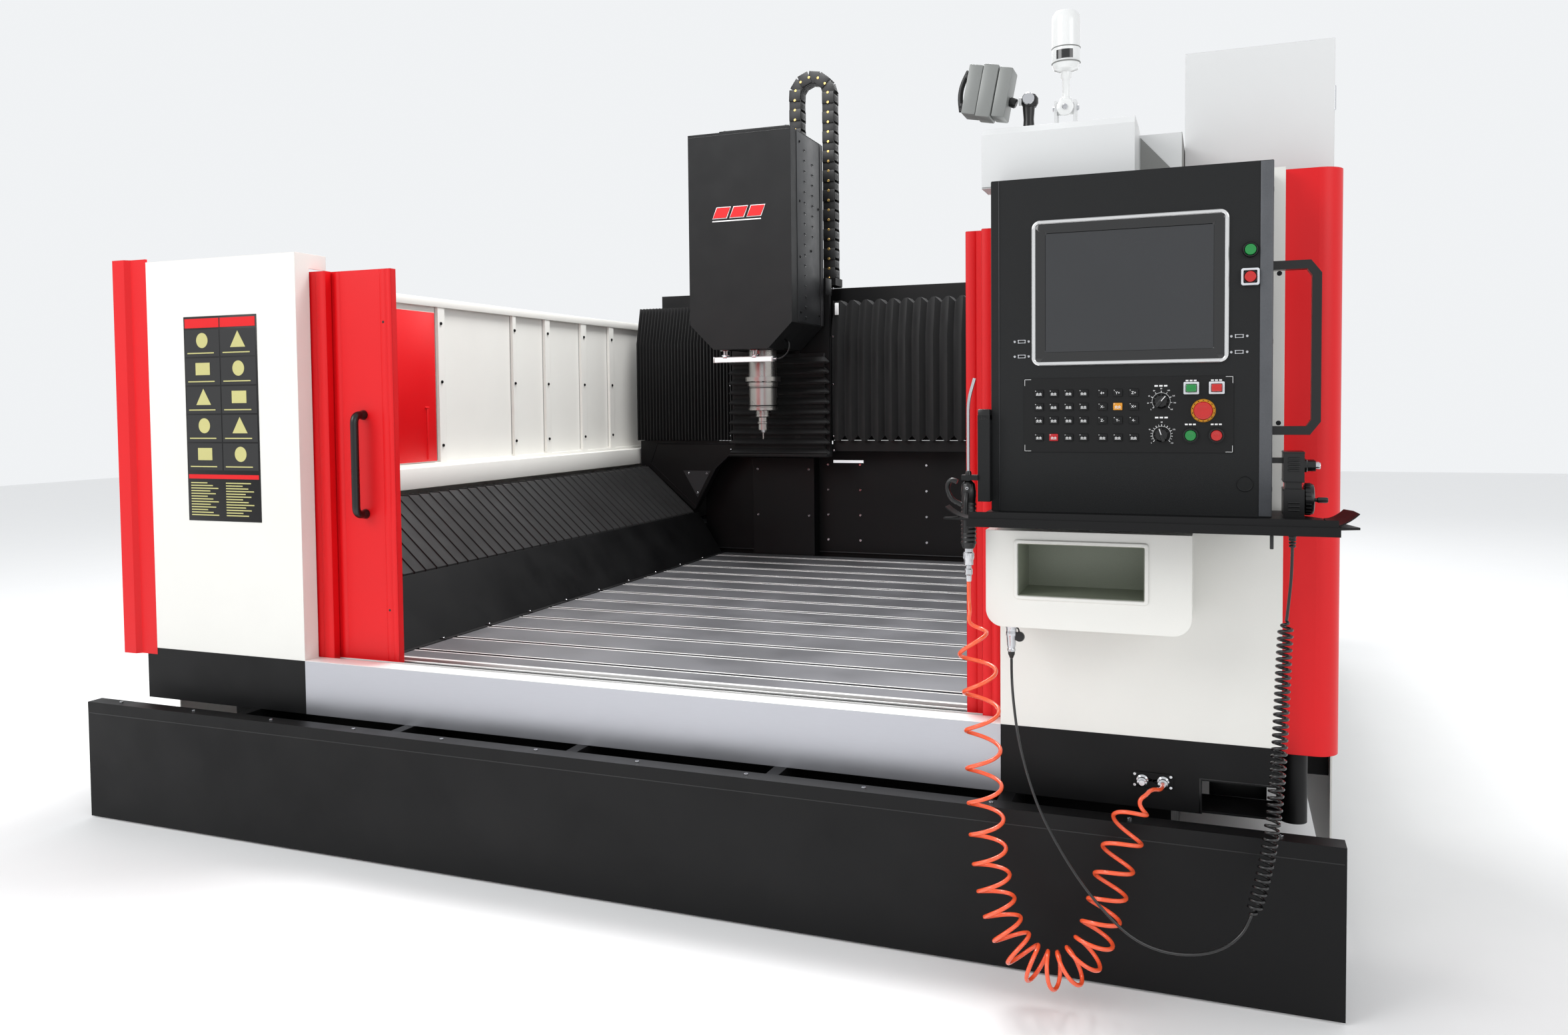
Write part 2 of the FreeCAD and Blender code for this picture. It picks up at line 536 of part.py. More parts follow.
def controls():
    """Buttons and knobs of the panel, each with a stem in its own bore; returns the bores."""
    bores = []
    for name, (x, z) in {**BUTTONS, **SQUARES}.items():
        back = f"{face_under(name)} - button_travel - 0.5"
        if name in SQUARES:
            cap = block(f"{x} - 9", f"{x} + 9", f"{back} - button_height", back, f"{z} - 7", f"{z} + 7")
        else:
            cap = rod("Y", "button_radius", f"{x}", f"{back} - button_height", f"{z}", "button_height")
        stem = rod("Y", "stem_radius", f"{x}", f"{back} - 1", f"{z}", "shaft_reach")
        node(name, fuse(cap, stem))
        bores.append(rod("Y", "stem_radius + shaft_gap", f"{x}", f"{PANEL} - 20", f"{z}", "60"))
    x, z = ESTOP
    back = f"{PLATE} - estop_travel - 1"
    head = rod("Y", "estop_radius", f"{x}", f"{back} - estop_height", f"{z}", "estop_height / 2")
    neck = rod("Y", "estop_stem", f"{x}", f"{back} - estop_height / 2 - 1", f"{z}", "estop_height / 2 + 1")
    stem = rod("Y", "stem_radius", f"{x}", f"{back} - 1", f"{z}", "shaft_reach")
    node("estop_button", fuse(head, neck, stem))
    bores.append(rod("Y", "stem_radius + shaft_gap", f"{x}", f"{PANEL} - 20", f"{z}", "60"))
    for name, (x, z) in KNOBS.items():
        dial = rod("Y", "knob_radius", f"{x}", f"{PLATE} - run_gap - knob_height", f"{z}", "knob_height")
        shaft = rod("Y", "shaft_radius", f"{x}", f"{PLATE} - 2", f"{z}", "shaft_reach")
        node(name, fuse(dial, shaft))
        bores.append(rod("Y", "shaft_radius + shaft_gap", f"{x}", f"{PANEL} - 20", f"{z}", "60"))
    return bores


def key_plate(bores):
    """Plate under the screen with its keys, button collars and the emergency stop's ring."""
    plate = [block("plate_left", "plate_left + plate_width", PLATE, PANEL, "plate_low",
                   "plate_low + plate_height")]
    reach = "(button_travel + 4)"
    holes = list(bores)
    for name, (x, z) in BUTTONS.items():
        if face_under(name) == PLATE:
            plate.append(rod("Y", "button_radius + collar_wall", f"{x}", f"{PLATE} - {reach}", f"{z}", reach))
            holes.append(rod("Y", "button_radius + 0.5", f"{x}", f"{PLATE} - 20", f"{z}", "20"))
    for x, z in SQUARES.values():
        plate.append(block(f"{x} - 13", f"{x} + 13", f"{PLATE} - {reach}", PLATE, f"{z} - 11", f"{z} + 11"))
        holes.append(block(f"{x} - 9.5", f"{x} + 9.5", f"{PLATE} - 20", PLATE, f"{z} - 7.5", f"{z} + 7.5"))
    x, z = ESTOP
    plate.append(rod("Y", "estop_radius + collar_wall", f"{x}", f"{PLATE} - 3", f"{z}", "3"))
    holes.append(rod("Y", "estop_stem + 1", f"{x}", f"{PLATE} - 10", f"{z}", "10"))
    keys = [block(f"{x} - key_width / 2", f"{x} + key_width / 2", f"{PLATE} - key_proud", PLATE,
                  f"{z} - key_height / 2", f"{z} + key_height / 2") for z in KEY_ROWS for x in KEY_COLUMNS]
    node("keypad_plate", cut(fuse(*plate), *holes), *keys)


def screen():
    """Monitor in the housing's window, with a rounded frame around it."""
    half_x, half_z = "screen_width / 2", "screen_height / 2"
    edge_x, edge_z = f"({half_x} + bezel_border)", f"({half_z} + bezel_border)"
    left, right = f"screen_x - {edge_x}", f"screen_x + {edge_x}"
    low, high = f"screen_z - {edge_z}", f"screen_z + {edge_z}"
    corners = [(left, low), (right, low), (right, high), (left, high)]
    frame = profile("XZ", corners, f"{PANEL} - bezel_proud", PANEL, [(i, "bezel_round") for i in range(4)])
    window = block(f"screen_x - {half_x}", f"screen_x + {half_x}", f"{PANEL} - 20", f"{PANEL} + 20",
                   f"screen_z - {half_z}", f"screen_z + {half_z}")
    node("screen_bezel", cut(frame, window))
    node("screen_glass", block(f"screen_x - {half_x}", f"screen_x + {half_x}", f"{PANEL} - 1.5",
                               f"{PANEL} + 45", f"screen_z - {half_z}", f"screen_z + {half_z}"))
    return block(f"screen_x - {half_x}", f"screen_x + {half_x}", f"{PANEL} - 20", f"{PANEL} + 20",
                 f"screen_z - {half_z}", f"screen_z + {half_z}")


def panel_housing(bores, window):
    """The panel's box, open behind, with the air gun's clip on its left side."""
    wall, top = "sheet_wall", "panel_low + panel_height"
    shell = block("panel_left", PANEL_RIGHT, PANEL, CASING, "panel_low", top)
    hollow = block(f"panel_left + {wall}", f"{PANEL_RIGHT} - {wall}", f"{PANEL} + {wall}",
                   f"{CASING} + 1", f"panel_low + {wall}", f"{top} - {wall}")
    arm = block("gun_x + gun_radius + 4", "panel_left", "gun_y - 8", "gun_y + 14", "panel_low + 20",
                "panel_low + 190")
    clip = block("gun_x - 12", "gun_x + gun_radius + 5", "gun_y - 12", "gun_y + 12", "gun_shoulder + 2",
                 "gun_shoulder + 12")
    eye = rod("Z", "6 + run_gap", "gun_x", "gun_y", "gun_shoulder", "20")
    node("control_panel_housing", fuse(cut(shell, hollow, window, *bores), cut(fuse(arm, clip), eye)))


def panel_handle():
    """Angled bar handle on the housing's right side."""
    root, reach, bar = PANEL_RIGHT, "handle_reach", "handle_bar"
    outer = [(root, "handle_high"), (f"{root} + {reach} - 18", "handle_high"),
             (f"{root} + {reach}", "handle_high - 24"), (f"{root} + {reach}", "handle_low + 24"),
             (f"{root} + {reach} - 18", "handle_low"), (root, "handle_low")]
    inner = [(root, f"handle_low + {bar}"), (f"{root} + {reach} - 24", f"handle_low + {bar}"),
             (f"{root} + {reach} - {bar}", f"handle_low + {bar} + 12"),
             (f"{root} + {reach} - {bar}", f"handle_high - {bar} - 12"),
             (f"{root} + {reach} - 24", f"handle_high - {bar}"), (root, f"handle_high - {bar}")]
    node("panel_handle", profile("XZ", outer + inner, f"{PANEL} + 34", f"{PANEL} + 34 + handle_depth"))


def tray_and_box():
    """Tool tray under the panel and the open-fronted box below it."""
    lip = f"{PANEL} - tray_proud"
    low = f"{TRAY_TOP} - tray_thickness"
    plan = [("tray_left", f"{lip} + 8"), ("tray_left + 45", lip), ("tray_right - 30", lip),
            ("tray_right", f"{lip} + 14"), (f"{PANEL_RIGHT} + 90", PANEL), (RIGHT_OUT, f"{CASING} - 40"),
            (RIGHT_OUT, CASING), (RIGHT_IN, CASING), ("panel_left - 8", f"{PANEL} + 20"),
            ("panel_left - 8", f"{PANEL} - 50"), ("tray_left + 30", f"{lip} + 50")]
    plate = profile("XY", plan, low, TRAY_TOP)
    strip = block("tray_left + 45", "tray_right - 30", lip, f"{lip} + tray_thickness",
                  f"{low} - tray_lip", low)
    lead_hole = rod("Z", "strain_radius + 2", "pendant_x + pendant_thick / 2", "pendant_y",
                    f"{low} - 5", "20")
    node("panel_tray", cut(fuse(plate, strip), lead_hole))
    right, top = "(box_left + box_width)", "(box_low + box_height)"
    corners = [("box_left", "box_low"), (right, "box_low"), (right, top), ("box_left", top)]
    body = profile("XZ", corners, PANEL, CASING, [(0, "box_round"), (1, "box_round")])
    room = block("mouth_left", "mouth_left + mouth_width", f"{PANEL} - 1", f"{CASING} - box_wall",
                 "mouth_low", "mouth_low + mouth_height")
    node("storage_box", cut(body, room))


# ---------------------------------------------------------------- on top of the right casing

def top_covers():
    """Cover on the right casing, with the stands of the tower light and of the work lamp."""
    front = f"({CASING} - cover_proud)"
    base, top = RIGHT_TOP, f"({RIGHT_TOP} + cover_height)"
    low = f"{base} - 12"
    main = profile("YZ", [(front, low), (f"{front} + cover_depth", low), (f"{front} + cover_depth", top),
                          (f"{front} + 10", top), (front, f"{top} - 14")],
                   "cover_left", "cover_left + cover_width")
    seat = block("cover_left - 1", "cover_left + cover_width + 1", CASING, f"{front} + cover_depth + 1",
                 f"{low} - 1", base)
    step = block("cover_left + cover_width", "cover_left + cover_width + cover_step", f"{front} + 130",
                 f"{front} + cover_depth", base, f"{base} + cover_step_height")
    stand = block("tower_x - 26", "tower_x + 26", "tower_y - 20", "tower_y + 20", top, f"{top} + 12")
    ears = [block(f"tower_x {sign} - 3", f"tower_x {sign} + 3", "tower_y - 14", "tower_y + 14",
                  f"{top} + 12", "tower_pivot + 14") for sign in ("- 19", "+ 19")]
    pin = rod("X", "4", "tower_x - 22", "tower_y", "tower_pivot", "44")
    ball = rod("Z", "9", "lamp_x + 60", "lamp_y", top, "lamp_z - 30 - " + top)
    yoke = rod("X", "8", "lamp_x + lamp_width / 2 - 24 + run_gap", "lamp_y", "lamp_z - 22", "36")
    node("top_cover", fuse(cut(main, seat), step), fuse(stand, *ears, pin), fuse(ball, yoke))
    node("electrical_cabinet", block(
        "half_width - 6 - cabinet_width", "half_width - 6", "front + cabinet_setback",
        "front + cabinet_setback + cabinet_depth", "side_high", "side_high + cabinet_height"))


def lights():
    """Folding tower light and tilting work lamp."""
    knuckle = cut(rod("X", "13", "tower_x - 15.7", "tower_y", "tower_pivot", "31.4"),
                  rod("X", "4 + shaft_gap", "tower_x - 20", "tower_y", "tower_pivot", "40"))
    stalk = block("tower_x - 8", "tower_x + 8", "tower_y - 8", "tower_y + 8", "tower_pivot + 10",
                  "tower_pivot + 76")
    lens = rod("Z", "tower_radius", "tower_x", "tower_y", "tower_pivot + 75", "tower_top - tower_pivot - 75")
    node("tower_light", fuse(knuckle, stalk, lens))
    body = block("lamp_x - lamp_width / 2", "lamp_x + lamp_width / 2 - 24", "lamp_y - lamp_depth / 2",
                 "lamp_y + lamp_depth / 2", "lamp_z - lamp_height / 2", "lamp_z + lamp_height / 2")
    grip = block("lamp_x - lamp_width / 2 - 10", "lamp_x - lamp_width / 2", "lamp_y - 8", "lamp_y + 8",
                 "lamp_z - 30", "lamp_z + 30")
    node("work_lamp", fuse(body, grip))


# ---------------------------------------------------------------- pendant, air gun and cords

def pendant():
    """Hand-wheel pendant standing on the tray, with its lead's strain relief."""
    x, y, low, high = "pendant_x", "pendant_y", TRAY_TOP, f"({TRAY_TOP} + pendant_high)"
    half = "pendant_wide / 2"
    lower = block(x, f"{x} + pendant_thick", f"{y} - {half}", f"{y} + {half}", low, f"{low} + 52")
    neck = block(f"{x} + 4", f"{x} + pendant_thick - 4", f"{y} - {half} + 10", f"{y} + {half} - 10",
                 f"{low} + 51", f"{high} - 55")
    upper = block(x, f"{x} + pendant_thick", f"{y} - {half} + 6", f"{y} + {half} - 6", f"{high} - 56", high)
    hook = block(f"{x} - 20", f"{x} + 1", f"{y} - 10", f"{y} + 10", f"{high} - 22", f"{high} - 12")
    knobs = [rod("X", "10", f"{x} + pendant_thick - 1", f"{y} {side}", f"{high} - 26", "20")
             for side in ("- 16", "+ 16")]
    relief = rod("Z", "strain_radius", f"{x} + pendant_thick / 2", y, f"{low} - strain_drop",
                 "strain_drop + 1")
    bore = rod("X", "4 + shaft_gap", f"{x} + 12", y, "wheel_z", "40")
    node("pendant_body", cut(fuse(lower, neck, upper, hook, relief, *knobs), bore))
    face = f"{x} + pendant_thick + run_gap"
    wheel = rod("X", "wheel_radius", face, y, "wheel_z", "wheel_height")
    shaft = rod("X", "4", f"{x} + 14", y, "wheel_z", "30")
    crank = rod("X", "5", f"{face} + wheel_height - 1", f"{y} - 19", "wheel_z", "24")
    node("pendant_wheel", fuse(wheel, shaft, crank))


def air_gun():
    """Blow gun hanging nozzle up in its clip, its lever, and the couplers below it."""
    body = turned([("0", "gun_low"), ("8", "gun_low"), ("8", "gun_low + 16"), ("11", "gun_low + 16"),
                   ("11", "gun_low + 48"), ("8", "gun_low + 48"), ("8", "gun_low + 68"),
                   ("gun_radius", "gun_low + 76"), ("gun_radius", "gun_shoulder - 15"),
                   ("6", "gun_shoulder"), ("6", "gun_shoulder + 20"), ("4", "gun_shoulder + 26"),
                   ("4", "gun_high"), ("0", "gun_high")],
                  "gun_x", "gun_y")
    node("air_gun_body", body)
    half = "trigger_wide / 2"
    blade_y = "gun_y - gun_radius - trigger_gap"
    blade = block(f"gun_x - {half}", f"gun_x + {half}", f"{blade_y} - 5", blade_y, "gun_shoulder - 105",
                  "gun_shoulder - 25")
    lug = block(f"gun_x - {half}", f"gun_x + {half}", f"{blade_y} - 1", "gun_y - gun_radius - run_gap",
                "gun_shoulder - 33", "gun_shoulder - 25")
    node("air_gun_trigger", fuse(blade, lug))


def fittings():
    """Air fittings on the skirt and the pendant's plug under the storage box."""
    plate = block("fitting_x - 60", "fitting_x + 20", f"{CASING} - 3", CASING, "fitting_z - 16",
                  "fitting_z + 16")
    nipples = [rod("Y", "fitting_radius", place, f"{CASING} - fitting_reach", "fitting_z",
                   "fitting_reach - 2") for place in ("fitting_x", "fitting_x - 40")]
    plug = rod("Z", "plug_radius", "plug_x", "plug_y", "box_low - plug_drop", "plug_drop")
    node("hose_fittings", fuse(plate, *nipples), plug)


AIR_ROUTE = [
    (918, -1710, 800), (918, -1710, 765), (926, -1733, 722), (945, -1746, 640), (953, -1750, 520),
    (957, -1758, 400), (968, -1768, 262), (996, -1784, 150), (1046, -1796, 86), (1110, -1798, 76),
    (1163, -1786, 122), (1183, -1764, 196), (1200, -1738, 270), (1221, -1708, 340), (1243, -1680, 386),
    (1262, -1640, 398), (1279, -1606, 386), (1279, -1570, 386)]
LEAD_ROUTE = [
    (1507.5, -1655, 895), (1507.5, -1655, 840), (1502, -1661, 782), (1495, -1670, 720), (1490, -1692, 600),
    (1483, -1720, 470), (1470, -1745, 346), (1449, -1760, 250), (1425, -1772, 193), (1392, -1784, 164),
    (1343, -1802, 153), (1286, -1822, 160), (1233, -1834, 184), (1182, -1834, 231), (1140, -1822, 276),
    (1101, -1800, 324), (1065, -1774, 375), (1037, -1745, 433), (1016, -1716, 492), (1002, -1685, 553),
    (993, -1655, 600), (993, -1655, 640)]


def path_edges(points):
    """The route's straight runs and the tangent arcs between them, and each arc's radius."""
    stops = [Vector(*p) for p in points]
    lengths = [(b - a).Length for a, b in zip(stops, stops[1:])]
    ends = [[a, b] for a, b in zip(stops, stops[1:])]
    arcs, radii = [], []
    for i in range(1, len(stops) - 1):
        before = (stops[i] - stops[i - 1]).normalize()
        after = (stops[i + 1] - stops[i]).normalize()
        half_turn = before.getAngle(after) / 2
        reach = 0.45 * min(lengths[i - 1], lengths[i])
        entry, leave = stops[i] - before * reach, stops[i] + after * reach
        radius = reach / math.tan(half_turn)
        radii.append(radius)
        middle = (after - before).normalize()
        apex = stops[i] + middle * (radius / math.cos(half_turn) - radius)
        arcs.append(Part.Arc(entry, apex, leave).toShape())
        ends[i - 1][1] = entry
        ends[i][0] = leave
    runs = [Part.LineSegment(a, b).toShape() for a, b in ends]
    return runs, arcs, radii


def tube(route, first, last, radius):
    """A round tube from the middle of one run to the middle of another, or to the route's end."""
    runs, arcs, _ = route
    edges = []
    for i in range(first, last + 1):
        start, end = runs[i].Vertexes[0].Point, runs[i].Vertexes[-1].Point
        if i == first and first > 0:
            start = (start + end) * 0.5
        if i == last and last < len(runs) - 1:
            end = (start + end) * 0.5
        edges.append(Part.LineSegment(start, end).toShape())
        if i < last:
            edges.append(arcs[i])
    spine = Part.Wire(edges)
    at = spine.Edges[0].Vertexes[0].Point
    along = spine.Edges[0].tangentAt(spine.Edges[0].FirstParameter)
    ring = Part.Wire([Part.makeCircle(radius, at, along)])
    solid = spine.makePipeShell([ring], True, False)
    if abs(solid.Volume / (math.pi * radius ** 2 * spine.Length) - 1) > 0.01:
        raise RuntimeError("a cord's volume is not its section times its length")
    return solid


def feature(shape):
    """A document object that holds a shape made by hand."""
    item = doc.addObject("Part::Feature", "tube")
    item.Shape = shape
    item.Placement = Placement()
    return item


def cords():
    """Coiled air hose and coiled pendant lead: fat tubes where they coil, thin ones elsewhere."""
    for name, points, thin, fat, coil_from, coil_to in (
            ("air_hose", AIR_ROUTE, "hose_radius", "hose_coil_radius", 1, 14),
            ("pendant", LEAD_ROUTE, "lead_radius", "lead_coil_radius", 2, 7)):
        route = path_edges(points)
        print(name, "arc radii", [round(r) for r in route[2]])
        last = len(points) - 2
        node(f"{name}_coil", feature(tube(route, coil_from, coil_to, cell(fat))))
        tails = [feature(tube(route, 0, coil_from, cell(thin))),
                 feature(tube(route, coil_to, last, cell(thin)))]
        node("air_hose_tails" if name == "air_hose" else "pendant_leads", *tails)


# ---------------------------------------------------------------- doors

def leaf(label, x, y, *extras):
    """One door leaf: a folded sheet panel, deeper along its two upright edges."""
    left, right = x, f"({x} + leaf_width)"
    hollow = block(f"{left} + 40", f"{right} - 40", f"{y} + sheet_wall", f"{y} + leaf_thick + 1",
                   "leaf_low + 30", "leaf_high - 30")
    node(label, cut(block(left, right, y, f"{y} + leaf_thick", "leaf_low", "leaf_high"), hollow), *extras)


def doors():
    """Two telescoping leaves on each side of the doorway, and the left leaf's handle."""
    leaf("door_left_leading", "left_leading_x", LEADING_Y)
    leaf("door_left_trailing", "left_trailing_x", TRAILING_Y)
    leaf("door_right_leading", "right_leading_x", LEADING_Y)
    leaf("door_right_trailing", "right_trailing_x", TRAILING_Y)
    near, bar = f"{LEADING_Y} - grip_proud", "grip_bar"
    plan = [(LEADING_Y, "grip_low"), (near, "grip_low"), (near, "grip_high"), (LEADING_Y, "grip_high"),
            (LEADING_Y, f"grip_high - {bar}"), (f"{near} + {bar}", f"grip_high - {bar}"),
            (f"{near} + {bar}", f"grip_low + {bar}"), (LEADING_Y, f"grip_low + {bar}")]
    node("left_door_handle", profile("YZ", plan, "grip_x", "grip_x + grip_width",
                                     [(1, "grip_bar"), (2, "grip_bar")]))


# ---------------------------------------------------------------- bridge, saddle and head

def bridge():
    """Hollow cross beam on two legs, with its rails, leg covers and cable trough."""
    wall = "bridge_wall"
    beam = block(f"-{BEAM}", BEAM, BRIDGE_FRONT, BRIDGE_BACK, "bridge_low", "bridge_high")
    hollow = block(f"-{BEAM} + {wall}", f"{BEAM} - {wall}", f"{BRIDGE_FRONT} + {wall}",
                   f"{BRIDGE_BACK} - {wall}", f"bridge_low + {wall}", f"bridge_high - {wall}")
    rails = [block(f"-{BEAM}", BEAM, f"{BRIDGE_FRONT} - rail_height", BRIDGE_FRONT, f"{z} - rail_width / 2",
                   f"{z} + rail_width / 2") for z in ("x_rail_low", "x_rail_high")]
    leg = block(f"{BEAM_IN} + bellows_shell + 4", BEAM, BRIDGE_FRONT, BRIDGE_BACK,
                f"{RAIL_TOP} + run_gap", "bridge_low")
    cover = profile("XZ", [
        (BEAM, "bridge_low - 4"), (BEAM, "bellows_roof + 2"), (f"{BEAM} - 40", "bellows_roof + 2"),
        (f"{BEAM_IN} - 4", "bellows_knee + 8"), (f"{BEAM_IN} - 20", "bellows_knee + 22"),
        (f"{BEAM_IN} - 130", "bellows_roof"), (f"{BEAM_IN} - 270", "bridge_low - 4")], GUSSET, BRIDGE_FRONT)
    trough = [block(f"-{BEAM} + 40", f"{BEAM} - 40", f"{BRIDGE_FRONT} + {offset}",
                    f"{BRIDGE_FRONT} + {offset} + trough_wall", "bridge_high", "bridge_high + trough_height")
              for offset in ("130", "130 + trough_width")]
    node("gantry_beam", cut(beam, hollow), leg, mirrored(leg), cover, mirrored(cover), *trough, *rails)


def x_cover(low, high):
    """Folding cover over the beam's rails, its top part leaning back."""
    wall, back = "x_cover_wall", f"{BRIDGE_FRONT} - rail_height - 6"
    lean = f"{BRIDGE} + cover_lean"
    return profile("YZ", [
        (back, "cover_bottom"), (BRIDGE, "cover_bottom"), (BRIDGE, "cover_fold"), (lean, "cover_top"),
        (f"{BRIDGE_FRONT} + 60", "cover_top"), (f"{BRIDGE_FRONT} + 60", f"cover_top - {wall}"),
        (f"{lean} + {wall}", f"cover_top - {wall}"), (f"{BRIDGE} + {wall}", f"cover_fold"),
        (f"{BRIDGE} + {wall}", f"cover_bottom + {wall}"), (back, f"cover_bottom + {wall}")], low, high)


def x_covers():
    """The short packed cover on the left of the saddle and the long one on its right."""
    node("x_bellows_left", x_cover("-x_cover_end", f"{SADDLE} - saddle_half - run_gap"))
    node("x_bellows_right", x_cover(f"{SADDLE} + saddle_half + run_gap", "x_cover_end"))


def saddle():
    """Saddle plate on the beam's rails, with its carriages, vertical rails and cable brackets."""
    left, right = f"{SADDLE} - saddle_half", f"{SADDLE} + saddle_half"
    back = f"{BRIDGE} + saddle_thick"
    plate = block(left, right, BRIDGE, back, "saddle_low", "saddle_high")
    lip = block(left, right, f"{BRIDGE} - way_depth - 4", f"{BRIDGE} + 1", "saddle_low", "saddle_low + 12")
    carriages = [block(f"{SADDLE} {side} - 60", f"{SADDLE} {side} + 60", f"{back} - 1",
                       f"{BRIDGE_FRONT} - rail_height - run_gap", f"{z} - 45", f"{z} + 45")
                 for side in ("- 150", "+ 150") for z in ("x_rail_low", "x_rail_high")]
    shelf = block(left, right, f"{back} - 1", f"{BRIDGE_FRONT} + 120", "saddle_high - 20", "saddle_high")
    foot = block(f"{CHAIN_RIGHT} - chain_thick - 10", f"{CHAIN_RIGHT} + 6", f"{BRIDGE} + chain_back - 12",
                 f"{BRIDGE} + chain_back + chain_wide + 12", "saddle_high - 20", "chain_foot")
    stub = block(f"{SADDLE} - 380", f"{SADDLE} - 100", f"{BRIDGE_FRONT} + 138", f"{BRIDGE_FRONT} + 208",
                 "bridge_high + 20", "saddle_high + 50")
    arm = block(f"{SADDLE} - 110", f"{SADDLE} - 60", f"{BRIDGE_FRONT} + 100", f"{BRIDGE_FRONT} + 208",
                "saddle_high - 19", "saddle_high + 30")
    rails = [block(f"head_x {side} - 14", f"head_x {side} + 14", f"{BRIDGE} - z_rail_proud", BRIDGE,
                   "saddle_low + 60", "saddle_high") for side in ("- z_rail_x", "+ z_rail_x")]
    node("saddle", fuse(plate, lip, shelf, foot, arm, stub, *carriages), *rails)


def way_cover():
    """Slatted cover below the ram, as the plain channel that holds its slats."""
    left, right = f"{SADDLE} - saddle_half", f"{SADDLE} + saddle_half"
    near, back, wall = f"{BRIDGE} - way_depth", f"{BRIDGE} - run_gap", "way_wall"
    node("z_way_cover", profile("XY", [
        (left, back), (left, near), (right, near), (right, back), (f"{right} - {wall}", back),
        (f"{right} - {wall}", f"{near} + {wall}"), (f"{left} + {wall}", f"{near} + {wall}"),
        (f"{left} + {wall}", back)], "saddle_low + 12 + run_gap", "way_high"))


def head():
    """Ram with its motor, spindle housing, turning nose, cover and strip light."""
    near = f"({RAM_BACK} - ram_depth)"
    ram = block("head_x - ram_half", "head_x + ram_half", near, RAM_BACK, "head_low + 2", "ram_high")
    blocks = [block(f"head_x {side} - 28", f"head_x {side} + 28", f"{RAM_BACK} - 1",
                    f"{BRIDGE} - z_rail_proud - run_gap", f"{z}", f"{z} + 90")
              for side in ("- z_rail_x", "+ z_rail_x") for z in ("head_low + 32", "head_low + 220")]
    cover_near = f"({HEAD_BACK} - head_depth)"
    stays = [block(f"head_x {side}", f"head_x {side} + 40", f"{cover_near} + head_wall", f"{near} + 1",
                   z, f"{z} + 40")
             for side in ("- 120", "+ 80") for z in ("head_low + 200", "ram_high - 80")]
    motor = rod("Z", "62", "head_x", SPINDLE_Y, "ram_high", "150")
    bracket = block(f"{CHAIN_LEFT} - 8", f"{CHAIN_LEFT} + chain_thick + 8", f"{SPINDLE_Y} + 40",
                    f"{BRIDGE} + chain_back + chain_wide + 8", "head_high + run_gap", "head_high + 16")
    post = block(f"{CHAIN_LEFT} + 12", f"{CHAIN_LEFT} + chain_thick - 12", f"{SPINDLE_Y} + 70",
                 f"{SPINDLE_Y} + 100", "ram_high - 1", "head_high + 1")
    node("z_ram", fuse(ram, *blocks, *stays, motor, post, bracket))

    low, high, corner, wall = "head_low", "head_high", "head_corner", "head_wall"
    left, right = "(head_x - head_half)", "(head_x + head_half)"

    def shape(inset, front, back):
        return profile("XZ", [
            (f"{left} + {inset}", f"{low} + {corner}"), (f"{left} + {corner}", f"{low} + {inset}"),
            (f"{right} - {corner}", f"{low} + {inset}"), (f"{right} - {inset}", f"{low} + {corner}"),
            (f"{right} - {inset}", f"{high} - {inset}"), (f"{left} + {inset}", f"{high} - {inset}")],
            front, back)
    throat = block("head_x - ram_half - 4", "head_x + ram_half + 4", f"{near} - 4", f"{HEAD_BACK} + 1",
                   f"{low} - 1", f"{low} + 20")
    slot = block(f"{CHAIN_LEFT} + 8", f"{CHAIN_LEFT} + chain_thick - 8", f"{SPINDLE_Y} + 66",
                 f"{SPINDLE_Y} + 104", f"{high} - 20", f"{high} + 1")
    node("head_cover", cut(shape("0", cover_near, f"{BRIDGE} - z_rail_proud - 5"),
                           shape(wall, f"{cover_near} + {wall}", f"{HEAD_BACK} + 1"), throat, slot))

    housing = turned([("nose_radius + shaft_gap", "spindle_low"), ("spindle_radius", "spindle_low"),
                      ("spindle_radius", "flange_low"), ("flange_radius", "flange_low"),
                      ("flange_radius", "flange_high"), ("spindle_radius", "flange_high"),
                      ("spindle_radius", "head_low + 2"), ("0", "head_low + 2"), ("0", "spindle_low + 90"),
                      ("nose_radius + shaft_gap", "spindle_low + 90")], "head_x", SPINDLE_Y)
    node("spindle_housing", housing)
    node("spindle_nose", turned([
        ("0", "tool_low"), ("tool_radius", "tool_low"), ("tool_radius", "tool_low + 30"),
        ("holder_radius - 8", "tool_low + 30"), ("holder_radius", "tool_low + 42"),
        ("holder_radius", "spindle_low - 32"),
        ("nose_flange", "spindle_low - 28"), ("nose_flange", "spindle_low - run_gap"),
        ("nose_radius", "spindle_low - run_gap"), ("nose_radius", "spindle_low + 80"),
        ("0", "spindle_low + 80")], "head_x", SPINDLE_Y))
    bar_y = f"({cover_near} + 70)"
    bar = block("head_x - light_left", "head_x + light_right", bar_y, f"{bar_y} + 26", "light_low",
                "light_high")
    hangers = [rod("Z", "4", f"head_x {side}", f"{bar_y} + 13", "light_high - 1",
                   "head_low - light_high + 1") for side in ("- 100", "+ 40")]
    node("light_bar", fuse(bar, *hangers))


